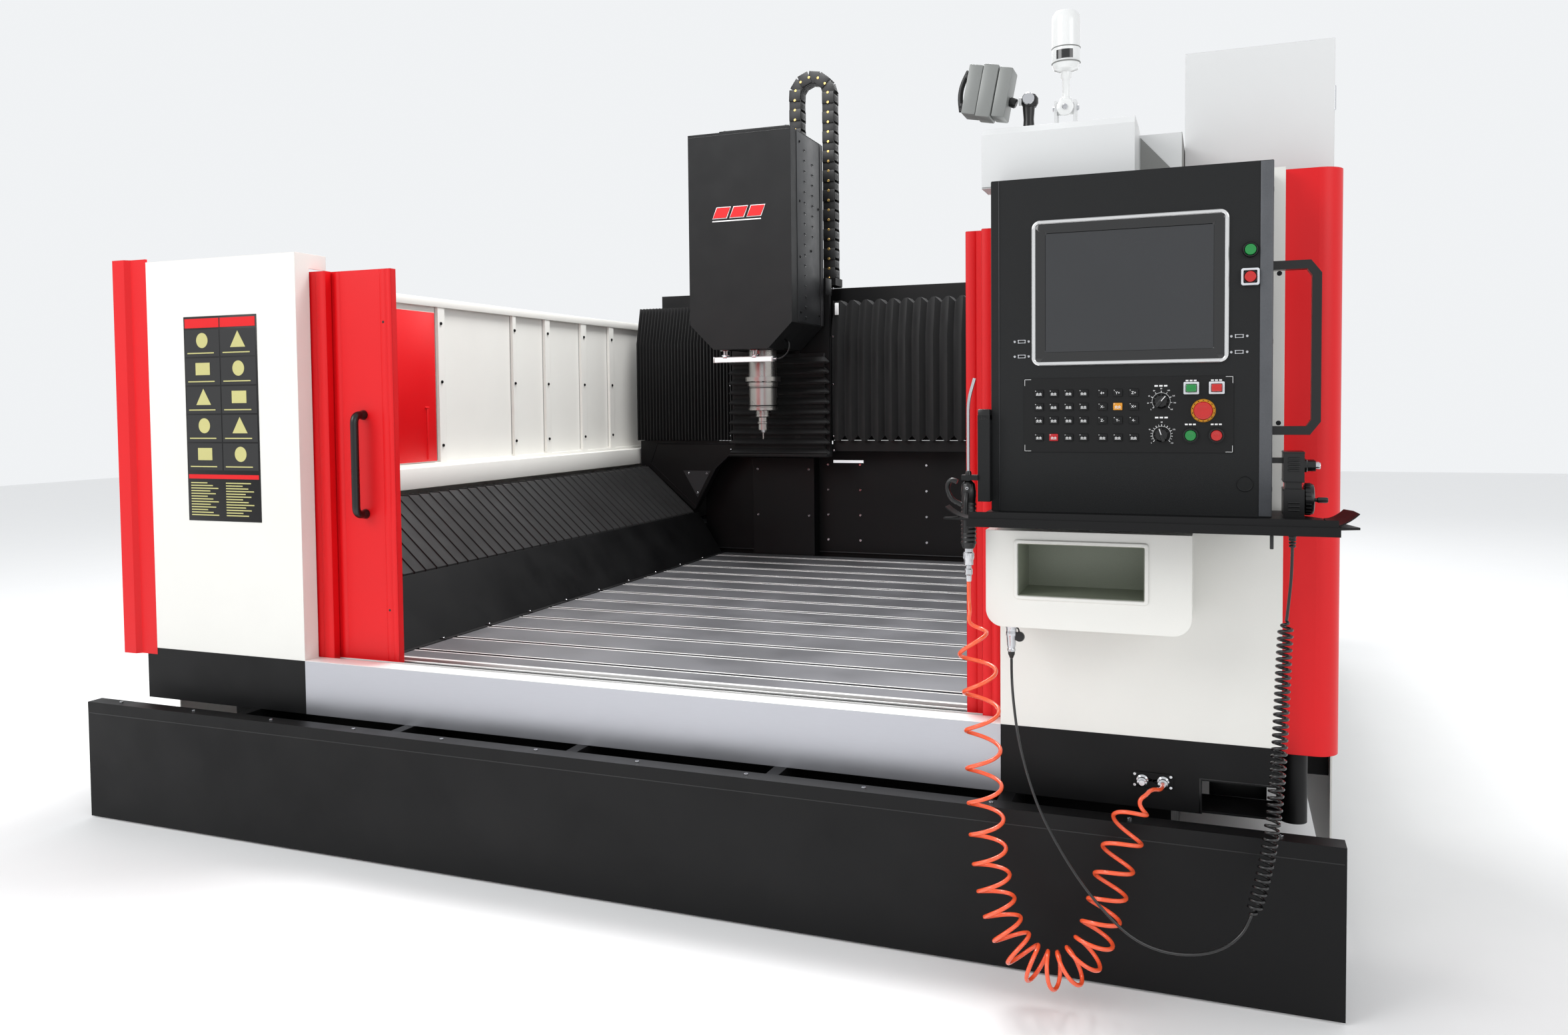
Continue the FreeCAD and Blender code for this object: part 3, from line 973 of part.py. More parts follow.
def z_chain():
    """Cable chain that loops from the saddle over to the top of the ram."""
    left, right = CHAIN_LEFT, CHAIN_RIGHT
    near = f"{BRIDGE} + chain_back"
    far = f"{near} + chain_wide"
    middle = f"({left} + {right}) / 2"
    radius = "(chain_right - chain_left) / 2"
    arch = cut(rod("Y", radius, middle, near, "chain_arch", "chain_wide"),
               rod("Y", f"{radius} - chain_thick", middle, f"{near} - 1", "chain_arch", "chain_wide + 2"),
               block(f"{left} - 1", f"{right} + 1", f"{near} - 1", f"{far} + 1",
                     f"chain_arch - {radius} - 1", "chain_arch"))
    strands = [block(left, f"{left} + chain_thick", near, far, "head_high + 16", "chain_arch"),
               block(f"{right} - chain_thick", right, near, far, "chain_foot", "chain_arch")]
    node("z_cable_chain", fuse(arch, *strands))


def write():
    """Check every object and write each sub-part to its own file."""
    doc.recompute()
    faulty = [f"{item.Name} ({item.Label}): {item.State}" for item in doc.Objects
              if "Invalid" in item.State or "Error" in item.State]
    if faulty:
        raise RuntimeError("failed objects: " + "; ".join(faulty))
    for item in nodes:
        if item.Shape.isNull() or not item.Shape.isValid() or not item.Shape.Solids:
            raise RuntimeError(f"bad shape: {item.Label}")
    os.makedirs("parts", exist_ok=True)
    for item in nodes:
        item.Shape.exportStep(f"parts/{item.Label}.step")
    print(len(nodes), "sub-parts written")


front_plinth()
machine_frame()
work_table()
y_rails()
y_bellows()
chip_guards()
table_front_panel()
casings()
corner_trims()
side_covers()
side_fences()
rear_panels()
panel_bores = controls()
key_plate(panel_bores)
screen_window = screen()
panel_housing(panel_bores, screen_window)
panel_handle()
tray_and_box()
top_covers()
lights()
pendant()
air_gun()
fittings()
cords()
doors()
bridge()
x_covers()
saddle()
way_cover()
head()
z_chain()
write()
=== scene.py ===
"""Looks of a moving-bridge CNC router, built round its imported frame.

Lengths are metres in the frame's own axes: +X to the operator's right, +Y away from the operator and +Z up,
with the origin on the floor under the middle of the machine. Names that end in _mm hold millimetres.
"""
import logging
import math
from dataclasses import dataclass
from enum import Enum

import bmesh
import bpy
from mathutils import Matrix, Vector

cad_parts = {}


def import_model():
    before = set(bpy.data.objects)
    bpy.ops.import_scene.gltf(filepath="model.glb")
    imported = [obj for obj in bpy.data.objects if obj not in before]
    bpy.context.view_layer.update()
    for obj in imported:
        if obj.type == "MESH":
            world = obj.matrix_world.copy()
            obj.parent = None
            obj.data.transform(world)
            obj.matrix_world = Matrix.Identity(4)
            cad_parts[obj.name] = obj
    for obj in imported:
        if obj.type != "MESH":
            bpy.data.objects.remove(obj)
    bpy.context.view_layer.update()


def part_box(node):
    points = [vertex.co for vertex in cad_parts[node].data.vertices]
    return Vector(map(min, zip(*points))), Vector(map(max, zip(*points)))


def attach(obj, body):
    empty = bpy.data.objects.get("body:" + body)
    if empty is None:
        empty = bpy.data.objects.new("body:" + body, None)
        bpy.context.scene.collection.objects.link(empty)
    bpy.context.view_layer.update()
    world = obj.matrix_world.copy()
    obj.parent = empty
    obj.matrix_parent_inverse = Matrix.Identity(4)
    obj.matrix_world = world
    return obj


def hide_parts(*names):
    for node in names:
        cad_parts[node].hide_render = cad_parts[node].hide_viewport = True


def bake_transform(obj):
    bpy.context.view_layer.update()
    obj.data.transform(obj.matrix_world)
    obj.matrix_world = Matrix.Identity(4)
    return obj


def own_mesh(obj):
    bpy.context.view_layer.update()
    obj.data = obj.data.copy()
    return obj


LOG = logging.getLogger("cnc_router")
MM = 0.001
COAT_ROUGHNESS = 0.12  # of every clear layer
SHARP_ANGLE = math.radians(38)  # edges steeper than this stay sharp
WELD = 1e-6  # corners nearer than this become one
EASING_STEPS = 2  # facets across an eased edge
Point = tuple[float, float, float]


# ------------------------------------------------------------------------------------- finishes

def linear(code: str) -> tuple[float, float, float, float]:
    """Turn an sRGB hex colour into linear RGBA.

    Args:
        code: The colour as #RRGGBB.

    Returns:
        Linear red, green and blue with an alpha of one.
    """
    parts = [int(code[i:i + 2], 16) / 255 for i in (1, 3, 5)]
    red, green, blue = [p / 12.92 if p <= 0.04045 else ((p + 0.055) / 1.055) ** 2.4 for p in parts]
    return red, green, blue, 1.0


def add_node(tree: bpy.types.NodeTree, kind: str, inputs: dict | None = None, **settings: object) -> bpy.types.Node:
    """Add one node with its settings and links.

    Args:
        tree: The node tree that gets the node.
        kind: Blender's name for the kind of node.
        inputs: For each input, by name or number, the socket that feeds it or its value.
        settings: The node's own properties.

    Returns:
        The new node.
    """
    node = tree.nodes.new(kind)
    for name, value in settings.items():
        setattr(node, name, value)
    for key, value in (inputs or {}).items():
        if isinstance(value, bpy.types.NodeSocket):
            tree.links.new(value, node.inputs[key])
        else:
            node.inputs[key].default_value = value
    return node


class Surface(Enum):
    """How a surface was made, as the stretch of its grain along X, Y and Z."""

    EVEN = (1.0, 1.0, 1.0)
    BRUSHED_ALONG_X = (0.012, 1.0, 1.0)
    BRUSHED_ALONG_Z = (1.0, 1.0, 0.02)


@dataclass(frozen=True)
class Finish:
    """A real material with the way its surface was made.

    Attributes:
        name: The material's common name.
        slot: The record's material slot that it stands for; not used.
        colour: Its sRGB colour.
        roughness: Its mean roughness.
        metallic: One for bare metal.
        ior: Index of refraction of a coating or plastic.
        coat: Strength of a clear gloss layer.
        sheen: Strength of a cloth's soft edge light.
        grain_mm: Size of the surface's grain.
        bump_mm: Depth of that grain.
        surface: The grain's direction.
        mottle: Share by which the colour and the gloss wander.
        mottle_mm: Size of those patches.
        edge_mm: Radius to which sheet edges are rounded over by their coating.
        glow: Light that it gives out.
    """

    name: str
    slot: str
    colour: str
    roughness: float
    metallic: float = 0.0
    ior: float = 1.5
    coat: float = 0.0
    sheen: float = 0.0
    grain_mm: float = 1.5
    bump_mm: float = 0.02
    surface: Surface = Surface.EVEN
    mottle: float = 0.05
    mottle_mm: float = 160.0
    edge_mm: float = 0.0
    glow: float = 0.0

    def material(self) -> bpy.types.Material:
        """Make the node material the first time it is asked for.

        Returns:
            The material.
        """
        found = bpy.data.materials.get(self.name)
        if found:
            return found
        made = bpy.data.materials.new(self.name)
        made.use_nodes = True
        tree = made.node_tree
        shader = tree.nodes["Principled BSDF"]
        place = add_node(tree, "ShaderNodeTexCoord").outputs["Object"]
        grain_scale = [share / (self.grain_mm * MM) for share in self.surface.value]
        stretched = add_node(tree, "ShaderNodeMapping", {"Vector": place, "Scale": grain_scale})
        grain = add_node(tree, "ShaderNodeTexNoise", {"Vector": stretched.outputs[0], "Scale": 1.0, "Detail": 3.0})
        patches = add_node(tree, "ShaderNodeTexNoise",
                           {"Vector": place, "Scale": 1 / (self.mottle_mm * MM), "Detail": 4.0})
        shade = add_node(tree, "ShaderNodeMath", {0: patches.outputs[0], 1: grain.outputs[0]}, operation="ADD")
        ramp = add_node(tree, "ShaderNodeMapRange",
                        {"Value": shade.outputs[0], "From Min": 0.6, "From Max": 1.4,
                         "To Min": 1 - self.mottle, "To Max": 1 + self.mottle})
        tint = add_node(tree, "ShaderNodeVectorMath",
                        {0: linear(self.colour)[:3], "Scale": ramp.outputs[0]}, operation="SCALE")
        gloss = add_node(tree, "ShaderNodeMapRange",
                         {"Value": patches.outputs[0], "From Min": 0.3, "From Max": 0.7,
                          "To Min": self.roughness * (1 - 2 * self.mottle),
                          "To Max": min(1.0, self.roughness * (1 + 2 * self.mottle))})
        bump = add_node(tree, "ShaderNodeBump",
                        {"Height": grain.outputs[0], "Distance": self.bump_mm * MM, "Strength": 1.0})
        if self.edge_mm:
            edge = add_node(tree, "ShaderNodeBevel", {"Radius": self.edge_mm * MM}, samples=4)
            tree.links.new(edge.outputs[0], bump.inputs["Normal"])
        tree.links.new(tint.outputs[0], shader.inputs["Base Color"])
        tree.links.new(gloss.outputs[0], shader.inputs["Roughness"])
        tree.links.new(bump.outputs[0], shader.inputs["Normal"])
        for socket, value in (("Metallic", self.metallic), ("IOR", self.ior), ("Coat Weight", self.coat),
                              ("Coat Roughness", COAT_ROUGHNESS), ("Sheen Weight", self.sheen),
                              ("Emission Strength", self.glow)):
            shader.inputs[socket].default_value = value
        if self.glow:
            shader.inputs["Emission Color"].default_value = linear(self.colour)
        return made


# Polyester powder coats: a fine orange peel softens every highlight, and the coat rounds sheet edges over.
RED_COAT = Finish("red_powder_coat", "red_paint", "#D40811", 0.42, ior=1.4, grain_mm=1.4, bump_mm=0.03,
                  mottle=0.03, edge_mm=1.6)
WHITE_COAT = Finish("white_powder_coat", "white_paint", "#E0DFDA", 0.42, coat=0.15, grain_mm=1.4, bump_mm=0.03,
                    mottle=0.02, edge_mm=1.6)
BLACK_COAT = Finish("black_powder_coat", "black_sheet", "#050506", 0.5, ior=1.33, grain_mm=1.2, bump_mm=0.04,
                    mottle=0.08, edge_mm=1.2)
# A sand-textured coat, whose grit shows as fine sparkle on the panel and the head. Real grit is about 0.9 mm
# wide; it is drawn coarser, at 2.2 mm, so that it holds at a distance.
SAND_COAT = Finish("sand_textured_coat", "black_textured_paint", "#141516", 0.55, ior=1.35, grain_mm=2.2, bump_mm=0.16,
                   mottle=0.04, mottle_mm=90, edge_mm=1.6)
# Satin stainless sheet: nearly mirror-like along the brushing and soft across it. The lines are drawn coarser
# than real brushing.
SATIN_SHEET = Finish("satin_stainless_sheet", "silver_panel", "#B9BAC0", 0.36, metallic=0.8, grain_mm=0.7,
                     bump_mm=0.006, surface=Surface.BRUSHED_ALONG_X, mottle=0.04, edge_mm=1.0)
# Surface-ground cast iron: long grinding marks along X, dark with oil between the slots, whose edges get a painted
# highlight.
# The marks are drawn coarser than a grinding wheel's.
GROUND_IRON = Finish("ground_cast_iron", "ground_steel", "#8A8A8E", 0.44, metallic=1.0, grain_mm=1.3,
                     bump_mm=0.002, surface=Surface.BRUSHED_ALONG_X, mottle=0.05, mottle_mm=240, edge_mm=0.6)
# The slots' milled edges and the doorway's sill: near white, a painted highlight where their chamfers catch the light,
# with marks along the cut that are drawn coarser than real ones.
PAINTED_EDGE_HIGHLIGHT = Finish("slot_edge_painted_highlight", "ground_steel", "#F2F2F0", 0.42, metallic=0.3, grain_mm=0.9,
                     bump_mm=0.005, surface=Surface.BRUSHED_ALONG_X, mottle=0.05)
# Hardened and ground rails: dense, smooth and sharply reflecting.
RAIL_STEEL = Finish("hardened_rail_steel", "rail_steel", "#8B8C90", 0.24, metallic=1.0, grain_mm=0.8,
                    bump_mm=0.005, mottle=0.05, edge_mm=0.6)
# Sand cast iron under machine enamel: a coarse skin that the paint only half fills, drawn somewhat coarser
# than real sand.
CASTING = Finish("enamelled_cast_iron", "cast_frame", "#050506", 0.55, ior=1.33, grain_mm=3.5, bump_mm=0.2,
                 mottle=0.1, edge_mm=2.0)
# Polyurethane-coated polyester cloth: matt, with a slight sheen along each fold. Its weave is drawn coarser
# than real.
BELLOWS_CLOTH = Finish("coated_bellows_cloth", "bellows_cloth", "#0A0A0B", 0.6, ior=1.33, sheen=0.08, grain_mm=1.6,
                       bump_mm=0.05, mottle=0.1)
# Injection-moulded nylon whose glass fibres leave a dull, slightly rough skin.
CHAIN_NYLON = Finish("glass_filled_nylon", "chain_plastic", "#0A0A0B", 0.5, grain_mm=1.0, bump_mm=0.04,
                     mottle=0.1)
# Drawn brass, dulled by handling.
CHAIN_PIN = Finish("brass_chain_pin", "chain_plastic", "#C9A968", 0.35, metallic=0.8, grain_mm=0.8,
                   bump_mm=0.01)
# Stainless steel turned about the upright axis: its tool marks stretch the highlights up and down.
SPINDLE_STEEL = Finish("turned_stainless_steel", "spindle_steel", "#ABA9A7", 0.3, metallic=1.0, grain_mm=0.8,
                       bump_mm=0.008, surface=Surface.BRUSHED_ALONG_Z, mottle=0.08, edge_mm=0.8)
# Moulded opal plastic: a soft body colour under a glossy skin.
LAMP_WHITE = Finish("opal_polycarbonate", "lamp_white", "#DEDFDE", 0.22, ior=1.58, coat=0.4, mottle=0.02)
# Die-cast aluminium under hammered enamel, which dimples the highlights.
LAMP_GREY = Finish("hammered_aluminium_enamel", "lamp_grey", "#858785", 0.4, metallic=0.3, grain_mm=2.0,
                   bump_mm=0.05, edge_mm=1.0)
# Drawn and anodised aluminium: even, pale and softly reflecting.
BEZEL = Finish("anodised_aluminium", "silver_frame", "#D6D6D6", 0.24, metallic=0.7, grain_mm=0.6,
               bump_mm=0.004, mottle=0.02)
# Glass etched against glare blurs what it mirrors; its black-printed border was left glossy.
SCREEN_GLASS = Finish("etched_screen_glass", "screen", "#16181C", 0.24, ior=1.52, coat=0.6, grain_mm=0.5,
                      bump_mm=0.002, mottle=0.12, mottle_mm=200)
SCREEN_BORDER = Finish("black_printed_glass", "screen", "#040405", 0.12, ior=1.52, coat=0.5, bump_mm=0.002)
# Polyester film printed from behind, with moulded silicone keys: satin rather than glossy.
KEY_FILM = Finish("printed_polyester_film", "key_plate", "#060607", 0.4, ior=1.38, grain_mm=0.8, bump_mm=0.02)
KEY_BLACK = Finish("black_silicone_key", "key_plate", "#030304", 0.36, ior=1.38, grain_mm=0.8, bump_mm=0.02)
KEY_AMBER = Finish("amber_key", "key_plate", "#D08A1C", 0.35)
KEY_RED = Finish("red_key", "key_plate", "#B00815", 0.35)
# Screen-printed ink: flat and opaque.
LEGEND = Finish("white_screen_print", "key_plate", "#EDEDED", 0.5, mottle=0.02)
# Moulded ABS, and acrylic caps that glow faintly from the lamp inside.
RING_YELLOW = Finish("yellow_abs", "red_button", "#C88808", 0.35)
BUTTON_RED = Finish("red_acrylic", "red_button", "#B4100C", 0.2, ior=1.49, coat=0.4, glow=0.05)
BUTTON_GREEN = Finish("green_acrylic", "green_button", "#007C34", 0.2, ior=1.49, coat=0.4, glow=0.05)
# Moulded nylon from a lightly sparked mould.
BLACK_NYLON = Finish("black_moulded_nylon", "black_plastic", "#060607", 0.3, grain_mm=1.2, bump_mm=0.04,
                     edge_mm=0.8)
# Extruded polyurethane and PVC: smooth, with a long highlight on each turn.
HOSE_ORANGE = Finish("orange_polyurethane", "orange_hose", "#EE5A30", 0.25, ior=1.49, coat=0.5, mottle=0.05)
LEAD_BLACK = Finish("black_pvc_jacket", "black_lead", "#060607", 0.28, ior=1.53, coat=0.2)
# Brass turned and then nickel-plated: close to a mirror.
CHROME = Finish("nickel_plated_brass", "chrome_fitting", "#C6C7CA", 0.14, metallic=1.0, bump_mm=0.004)
# Blackened steel under a trace of oil.
SCREW_BLACK = Finish("black_oxide_steel", "black_sheet", "#1A1A1C", 0.3, metallic=0.8, bump_mm=0.01)

# The same sand-textured coat drawn lighter on sheets that catch the light, as painted light, and paler still on the
# folded edge of the panel's door, as a painted highlight. Both are drawn coarser than real, as above.
SAND_COAT_LIT = Finish("sand_textured_coat_painted_lit", "black_textured_paint", "#252628", 0.46, grain_mm=2.2, bump_mm=0.16,
                        mottle=0.06, mottle_mm=70, edge_mm=1.2)
EDGE_HIGHLIGHT_GREY = Finish("sand_textured_edge_painted_highlight", "black_textured_paint", "#4B4D51", 0.42, grain_mm=2.4, bump_mm=0.2,
                   mottle=0.1, mottle_mm=30)
# Powder coat in a greyer white, with the same orange peel.
COVER_WHITE = Finish("grey_white_powder_coat", "white_paint", "#D2D3D3", 0.45, coat=0.1, grain_mm=1.4, bump_mm=0.03,
                     mottle=0.02, edge_mm=1.6)
# Grey that stands for the shadow in sheet joints and beside the side fences' ribs: painted shade.
SEAM_SHADE = Finish("painted_seam_shade", "white_paint", "#7C7D7B", 0.6)
# Olive grey on the inner faces of the storage box: painted shade.
BOX_INSIDE_SHADE = Finish("box_inside_painted_shade", "white_paint", "#8E9484", 0.4, mottle=0.06)
# Cut self-adhesive vinyl: flat, with no grain to speak of.
BOARD_GREY = Finish("dark_grey_vinyl", "black_sheet", "#141415", 0.45)
BOARD_PALE = Finish("pale_yellow_vinyl", "black_sheet", "#BDB878", 0.45)
# Frosted polycarbonate, drawn opaque.
CLEAR_GUARD = Finish("clear_frosted_polycarbonate", "silver_frame", "#C9CCD0", 0.15, ior=1.58, coat=0.5)
# An opal lens lit from behind.
GLOWING_LENS = Finish("lit_opal_lens", "lamp_white", "#F4F6F8", 0.3, ior=1.58, glow=0.6)


# ------------------------------------------------------------------------------------- shapes

@dataclass(frozen=True)
class Box:
    """The space between two corners of a CAD node."""

    low: Vector
    high: Vector

    @classmethod
    def of(cls, node: str) -> "Box":
        """Read the box of the CAD node with this name."""
        return cls(*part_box(node))


class Form:
    """A mesh that grows from rounded slabs, turned parts, prisms, tubes and sheets."""

    def __init__(self) -> None:
        """Start with nothing."""
        self.mesh = bmesh.new()

    def block(self, size: Point, place: Matrix, edge: float = 0.0) -> "Form":
        """Add a box with rounded edges.

        Args:
            size: Its size along its own axes.
            place: The matrix that puts its middle where it belongs.
            edge: Radius of its edges.

        Returns:
            The form itself.
        """
        corners = bmesh.ops.create_cube(self.mesh, size=1, matrix=place @ Matrix.Diagonal((*size, 1)))["verts"]
        if edge:
            edges = list({e for v in corners for e in v.link_edges})
            bmesh.ops.bevel(self.mesh, geom=edges, offset=min(edge, min(size) * 0.45), segments=EASING_STEPS,
                            affect="EDGES", profile=0.5)
        return self

    def slab(self, low: Point, high: Point, edge: float = 0.0) -> "Form":
        """Add an upright box with rounded edges.

        Args:
            low: Its lowest corner.
            high: Its highest corner.
            edge: Radius of its edges.

        Returns:
            The form itself.
        """
        low, high = Vector(low), Vector(high)
        return self.block(high - low, Matrix.Translation((low + high) / 2), edge)

    def turned(self, outline: list[tuple[float, float]], base: Point, along: Point = (0, 0, 1),
               sides: int = 32) -> "Form":
        """Add a solid of revolution.

        Args:
            outline: Pairs of radius and distance along the axis, from one end to the other.
            base: Where the axis starts.
            along: The axis's direction.
            sides: How many facets go round it.

        Returns:
            The form itself.
        """
        spin = Vector((0, 0, 1)).rotation_difference(Vector(along)).to_matrix().to_4x4()
        place = Matrix.Translation(base) @ spin
        rings = []
        for radius, height in outline:
            count = 1 if radius < 1e-7 else sides
            rings.append([self.mesh.verts.new(place @ Vector((
                radius * math.cos(math.tau * i / sides), radius * math.sin(math.tau * i / sides), height)))
                for i in range(count)])
        for lower, upper in zip(rings, rings[1:]):
            for i in range(sides):
                quad = [lower[i % len(lower)], lower[(i + 1) % len(lower)],
                        upper[(i + 1) % len(upper)], upper[i % len(upper)]]
                corners = list(dict.fromkeys(quad))
                if len(corners) > 2:
                    self.mesh.faces.new(corners)
        for ring in (rings[0], rings[-1]):
            if len(ring) > 2:
                self.mesh.faces.new(ring)
        return self

    def rod(self, start: Point, end: Point, radius: float, edge: float = 0.0, sides: int = 24) -> "Form":
        """Add a round bar.

        Args:
            start: The middle of its first end.
            end: The middle of its last end.
            radius: Its radius.
            edge: How far its two rims are eased.
            sides: How many facets go round it.

        Returns:
            The form itself.
        """
        start, end = Vector(start), Vector(end)
        length = (end - start).length
        edge = min(edge, radius * 0.5, length * 0.45)
        outline = [(0, 0), (radius - edge, 0), (radius, edge), (radius, length - edge), (radius - edge, length),
                   (0, length)]
        return self.turned(outline, start, (end - start).normalized(), sides)

    def screw(self, at: Point, out: Point, radius: float) -> "Form":
        """Add a socket-head screw.

        Args:
            at: Where its axis meets the surface.
            out: The surface's outward direction.
            radius: Its head's radius.

        Returns:
            The form itself.
        """
        high = radius * 0.7
        return self.turned([(0, -0.001), (radius, -0.001), (radius, high * 0.8), (radius * 0.86, high),
                            (radius * 0.5, high), (radius * 0.45, high * 0.4), (0, high * 0.4)], at, out, 12)

    def prism(self, outline: list[Point], push: Point, edge: float = 0.0) -> "Form":
        """Add a flat outline pushed into a solid.

        Args:
            outline: The corners, in order.
            push: How far and which way it is pushed.
            edge: Radius of its edges.

        Returns:
            The form itself.
        """
        near = [self.mesh.verts.new(p) for p in outline]
        far = [self.mesh.verts.new(Vector(p) + Vector(push)) for p in outline]
        count = len(outline)
        faces = [self.mesh.faces.new(near), self.mesh.faces.new(list(reversed(far)))]
        faces += [self.mesh.faces.new([near[i], far[i], far[(i + 1) % count], near[(i + 1) % count]])
                  for i in range(count)]
        if edge:
            edges = list({e for f in faces for e in f.edges})
            bmesh.ops.bevel(self.mesh, geom=edges, offset=edge, segments=EASING_STEPS, affect="EDGES", profile=0.5)
        return self

    def sheet(self, rows: list[list[Point]], thick: float = 0.0) -> "Form":
        """Add a surface through rows of points.

        Args:
            rows: Rows with the same number of points each.
            thick: The surface's thickness, or zero for none.

        Returns:
            The form itself.
        """
        grid = [[self.mesh.verts.new(p) for p in row] for row in rows]
        faces = [self.mesh.faces.new((upper[i], upper[i + 1], lower[i + 1], lower[i]))
                 for upper, lower in zip(grid, grid[1:]) for i in range(len(upper) - 1)]
        if thick:
            bmesh.ops.recalc_face_normals(self.mesh, faces=faces)
            bmesh.ops.solidify(self.mesh, geom=faces, thickness=thick)
        return self

    def letters(self, text: str, height: float, at: Point) -> "Form":
        """Add flat printed letters that face -Y.

        Args:
            text: The letters.
            height: Their size.
            at: The middle of the text.

        Returns:
            The form itself.
        """
        curve = bpy.data.curves.new("letters", "FONT")
        curve.body, curve.size = text, height
        curve.align_x = curve.align_y = "CENTER"
        holder = bpy.data.objects.new("letters", curve)
        bpy.context.scene.collection.objects.link(holder)
        bpy.context.view_layer.update()
        data = bpy.data.meshes.new_from_object(holder.evaluated_get(bpy.context.evaluated_depsgraph_get()))
        corners = [self.mesh.verts.new((at[0] + v.co.x, at[1], at[2] + v.co.y)) for v in data.vertices]
        for face in data.polygons:
            self.mesh.faces.new([corners[k] for k in face.vertices])
        bpy.data.objects.remove(holder)
        return self

    def tube(self, points: list[Point], radius: float, sides: int = 16) -> "Form":
        """Add a bent round bar with closed ends.

        Args:
            points: The points that its middle follows.
            radius: Its radius.
            sides: How many facets go round it.

        Returns:
            The form itself.
        """
        stops = [Vector(p) for p in points]
        side = (stops[1] - stops[0]).orthogonal().normalized()
        rings = []
        for i, stop in enumerate(stops):
            ahead = (stops[min(i + 1, len(stops) - 1)] - stops[max(i - 1, 0)]).normalized()
            side = (side - ahead * side.dot(ahead)).normalized()
            across = ahead.cross(side)
            rings.append([self.mesh.verts.new(
                stop + radius * (side * math.cos(math.tau * k / sides) + across * math.sin(math.tau * k / sides)))
                for k in range(sides)])
        for near, far in zip(rings, rings[1:]):
            for k in range(sides):
                self.mesh.faces.new((near[k], near[(k + 1) % sides], far[(k + 1) % sides], far[k]))
        self.mesh.faces.new(rings[0])
        self.mesh.faces.new(rings[-1])
        return self

    def frame(self, low: Point, high: Point, inner_low: Point, inner_high: Point, depth: float, corner: float,
              edge: float) -> "Form":
        """Add a flat ring with rounded corners that faces -Y.

        Args:
            low: Outer lowest corner; its y is the ring's back.
            high: Outer highest corner.
            inner_low: The opening's lowest corner.
            inner_high: The opening's highest corner.
            depth: How far the ring stands out towards -Y.
            corner: The outer corners' radius.
            edge: How far its front edges are eased.

        Returns:
            The form itself.
        """
        back = low[1]

        def loop(a: Point, b: Point, radius: float, y: float) -> list[Vector]:
            """Walk round one rounded rectangle.

            Args:
                a: Its lowest corner.
                b: Its highest corner.
                radius: Its corners' radius.
                y: How deep it lies.

            Returns:
                Its points, seven for each corner.
            """
            centres = [(b[0] - radius, b[2] - radius), (a[0] + radius, b[2] - radius),
                       (a[0] + radius, a[2] + radius), (b[0] - radius, a[2] + radius)]
            return [Vector((x + radius * math.cos(math.radians(90 * q + 15 * k)), y,
                            z + radius * math.sin(math.radians(90 * q + 15 * k))))
                    for q, (x, z) in enumerate(centres) for k in range(7)]

        inner = max(corner * 0.4, 0.5 * MM)
        front = back - depth
        loops = [loop(low, high, corner, back), loop(low, high, corner, front + edge),
                 loop((low[0] + edge, 0, low[2] + edge), (high[0] - edge, 0, high[2] - edge), corner, front),
                 loop((inner_low[0] - edge, 0, inner_low[2] - edge), (inner_high[0] + edge, 0, inner_high[2] + edge),
                      inner, front),
                 loop(inner_low, inner_high, inner, front + edge), loop(inner_low, inner_high, inner, back)]
        return self.sheet([[*ring, ring[0]] for ring in loops])

    def piece(self, name: str, finish: Finish, body: str | None, *stands_for: str) -> bpy.types.Object:
        """Turn the form into a named piece of the machine.

        Args:
            name: The piece's name.
            finish: What it is made of.
            body: The CAD body that it rides on, or None where it bends between two.
            stands_for: CAD nodes that it replaces.

        Returns:
            The new object.
        """
        bmesh.ops.remove_doubles(self.mesh, verts=self.mesh.verts, dist=WELD)
        bmesh.ops.recalc_face_normals(self.mesh, faces=self.mesh.faces)
        data = bpy.data.meshes.new(name)
        self.mesh.to_mesh(data)
        self.mesh.free()
        data.shade_smooth()
        data.set_sharp_from_angle(angle=SHARP_ANGLE)
        made = bpy.data.objects.new(name, data)
        bpy.context.scene.collection.objects.link(made)
        data.materials.append(finish.material())
        return settle(made, finish, body, *stands_for)


def settle(made: bpy.types.Object, finish: Finish, body: str | None, *stands_for: str) -> bpy.types.Object:
    """Tie a piece to its body and the CAD nodes that it stands for.

    Args:
        made: The piece.
        finish: What it is made of.
        body: The CAD body that it rides on, or None where it bends between two.
        stands_for: CAD nodes that it replaces.

    Returns:
        The piece.
    """
    if body:
        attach(made, body)
    if stands_for:
        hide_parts(*stands_for)
    LOG.info("%s: %s", made.name, finish.name)
    return made


def dress(finish: Finish, *nodes: str) -> None:
    """Give carried-over CAD nodes their finish.

    Args:
        finish: What they are made of.
        nodes: Their names.
    """
    for name in nodes:
        data = bpy.data.objects[name].data
        data.materials.clear()
        data.materials.append(finish.material())
        LOG.info("%s: %s", name, finish.name)


def inset(line: list[tuple[float, float]], depth: float) -> list[Vector]:
    """Shift an open line to its left by a depth, with mitred corners.

    Args:
        line: The line's points.
        depth: How far it is shifted; a negative depth shifts it to its right.

    Returns:
        The shifted points.
    """
    stops = [Vector(p) for p in line]
    shifted = []
    for i, stop in enumerate(stops):
        ways = [(b - a).normalized() for a, b in zip(stops[max(i - 1, 0):i + 1], stops[max(i - 1, 0) + 1:i + 2])]
        sides = [Vector((-way.y, way.x)) for way in ways]
        side = sum(sides, Vector((0, 0))).normalized()
        shifted.append(stop + side * depth / max(0.4, side.dot(sides[0])))
    return shifted


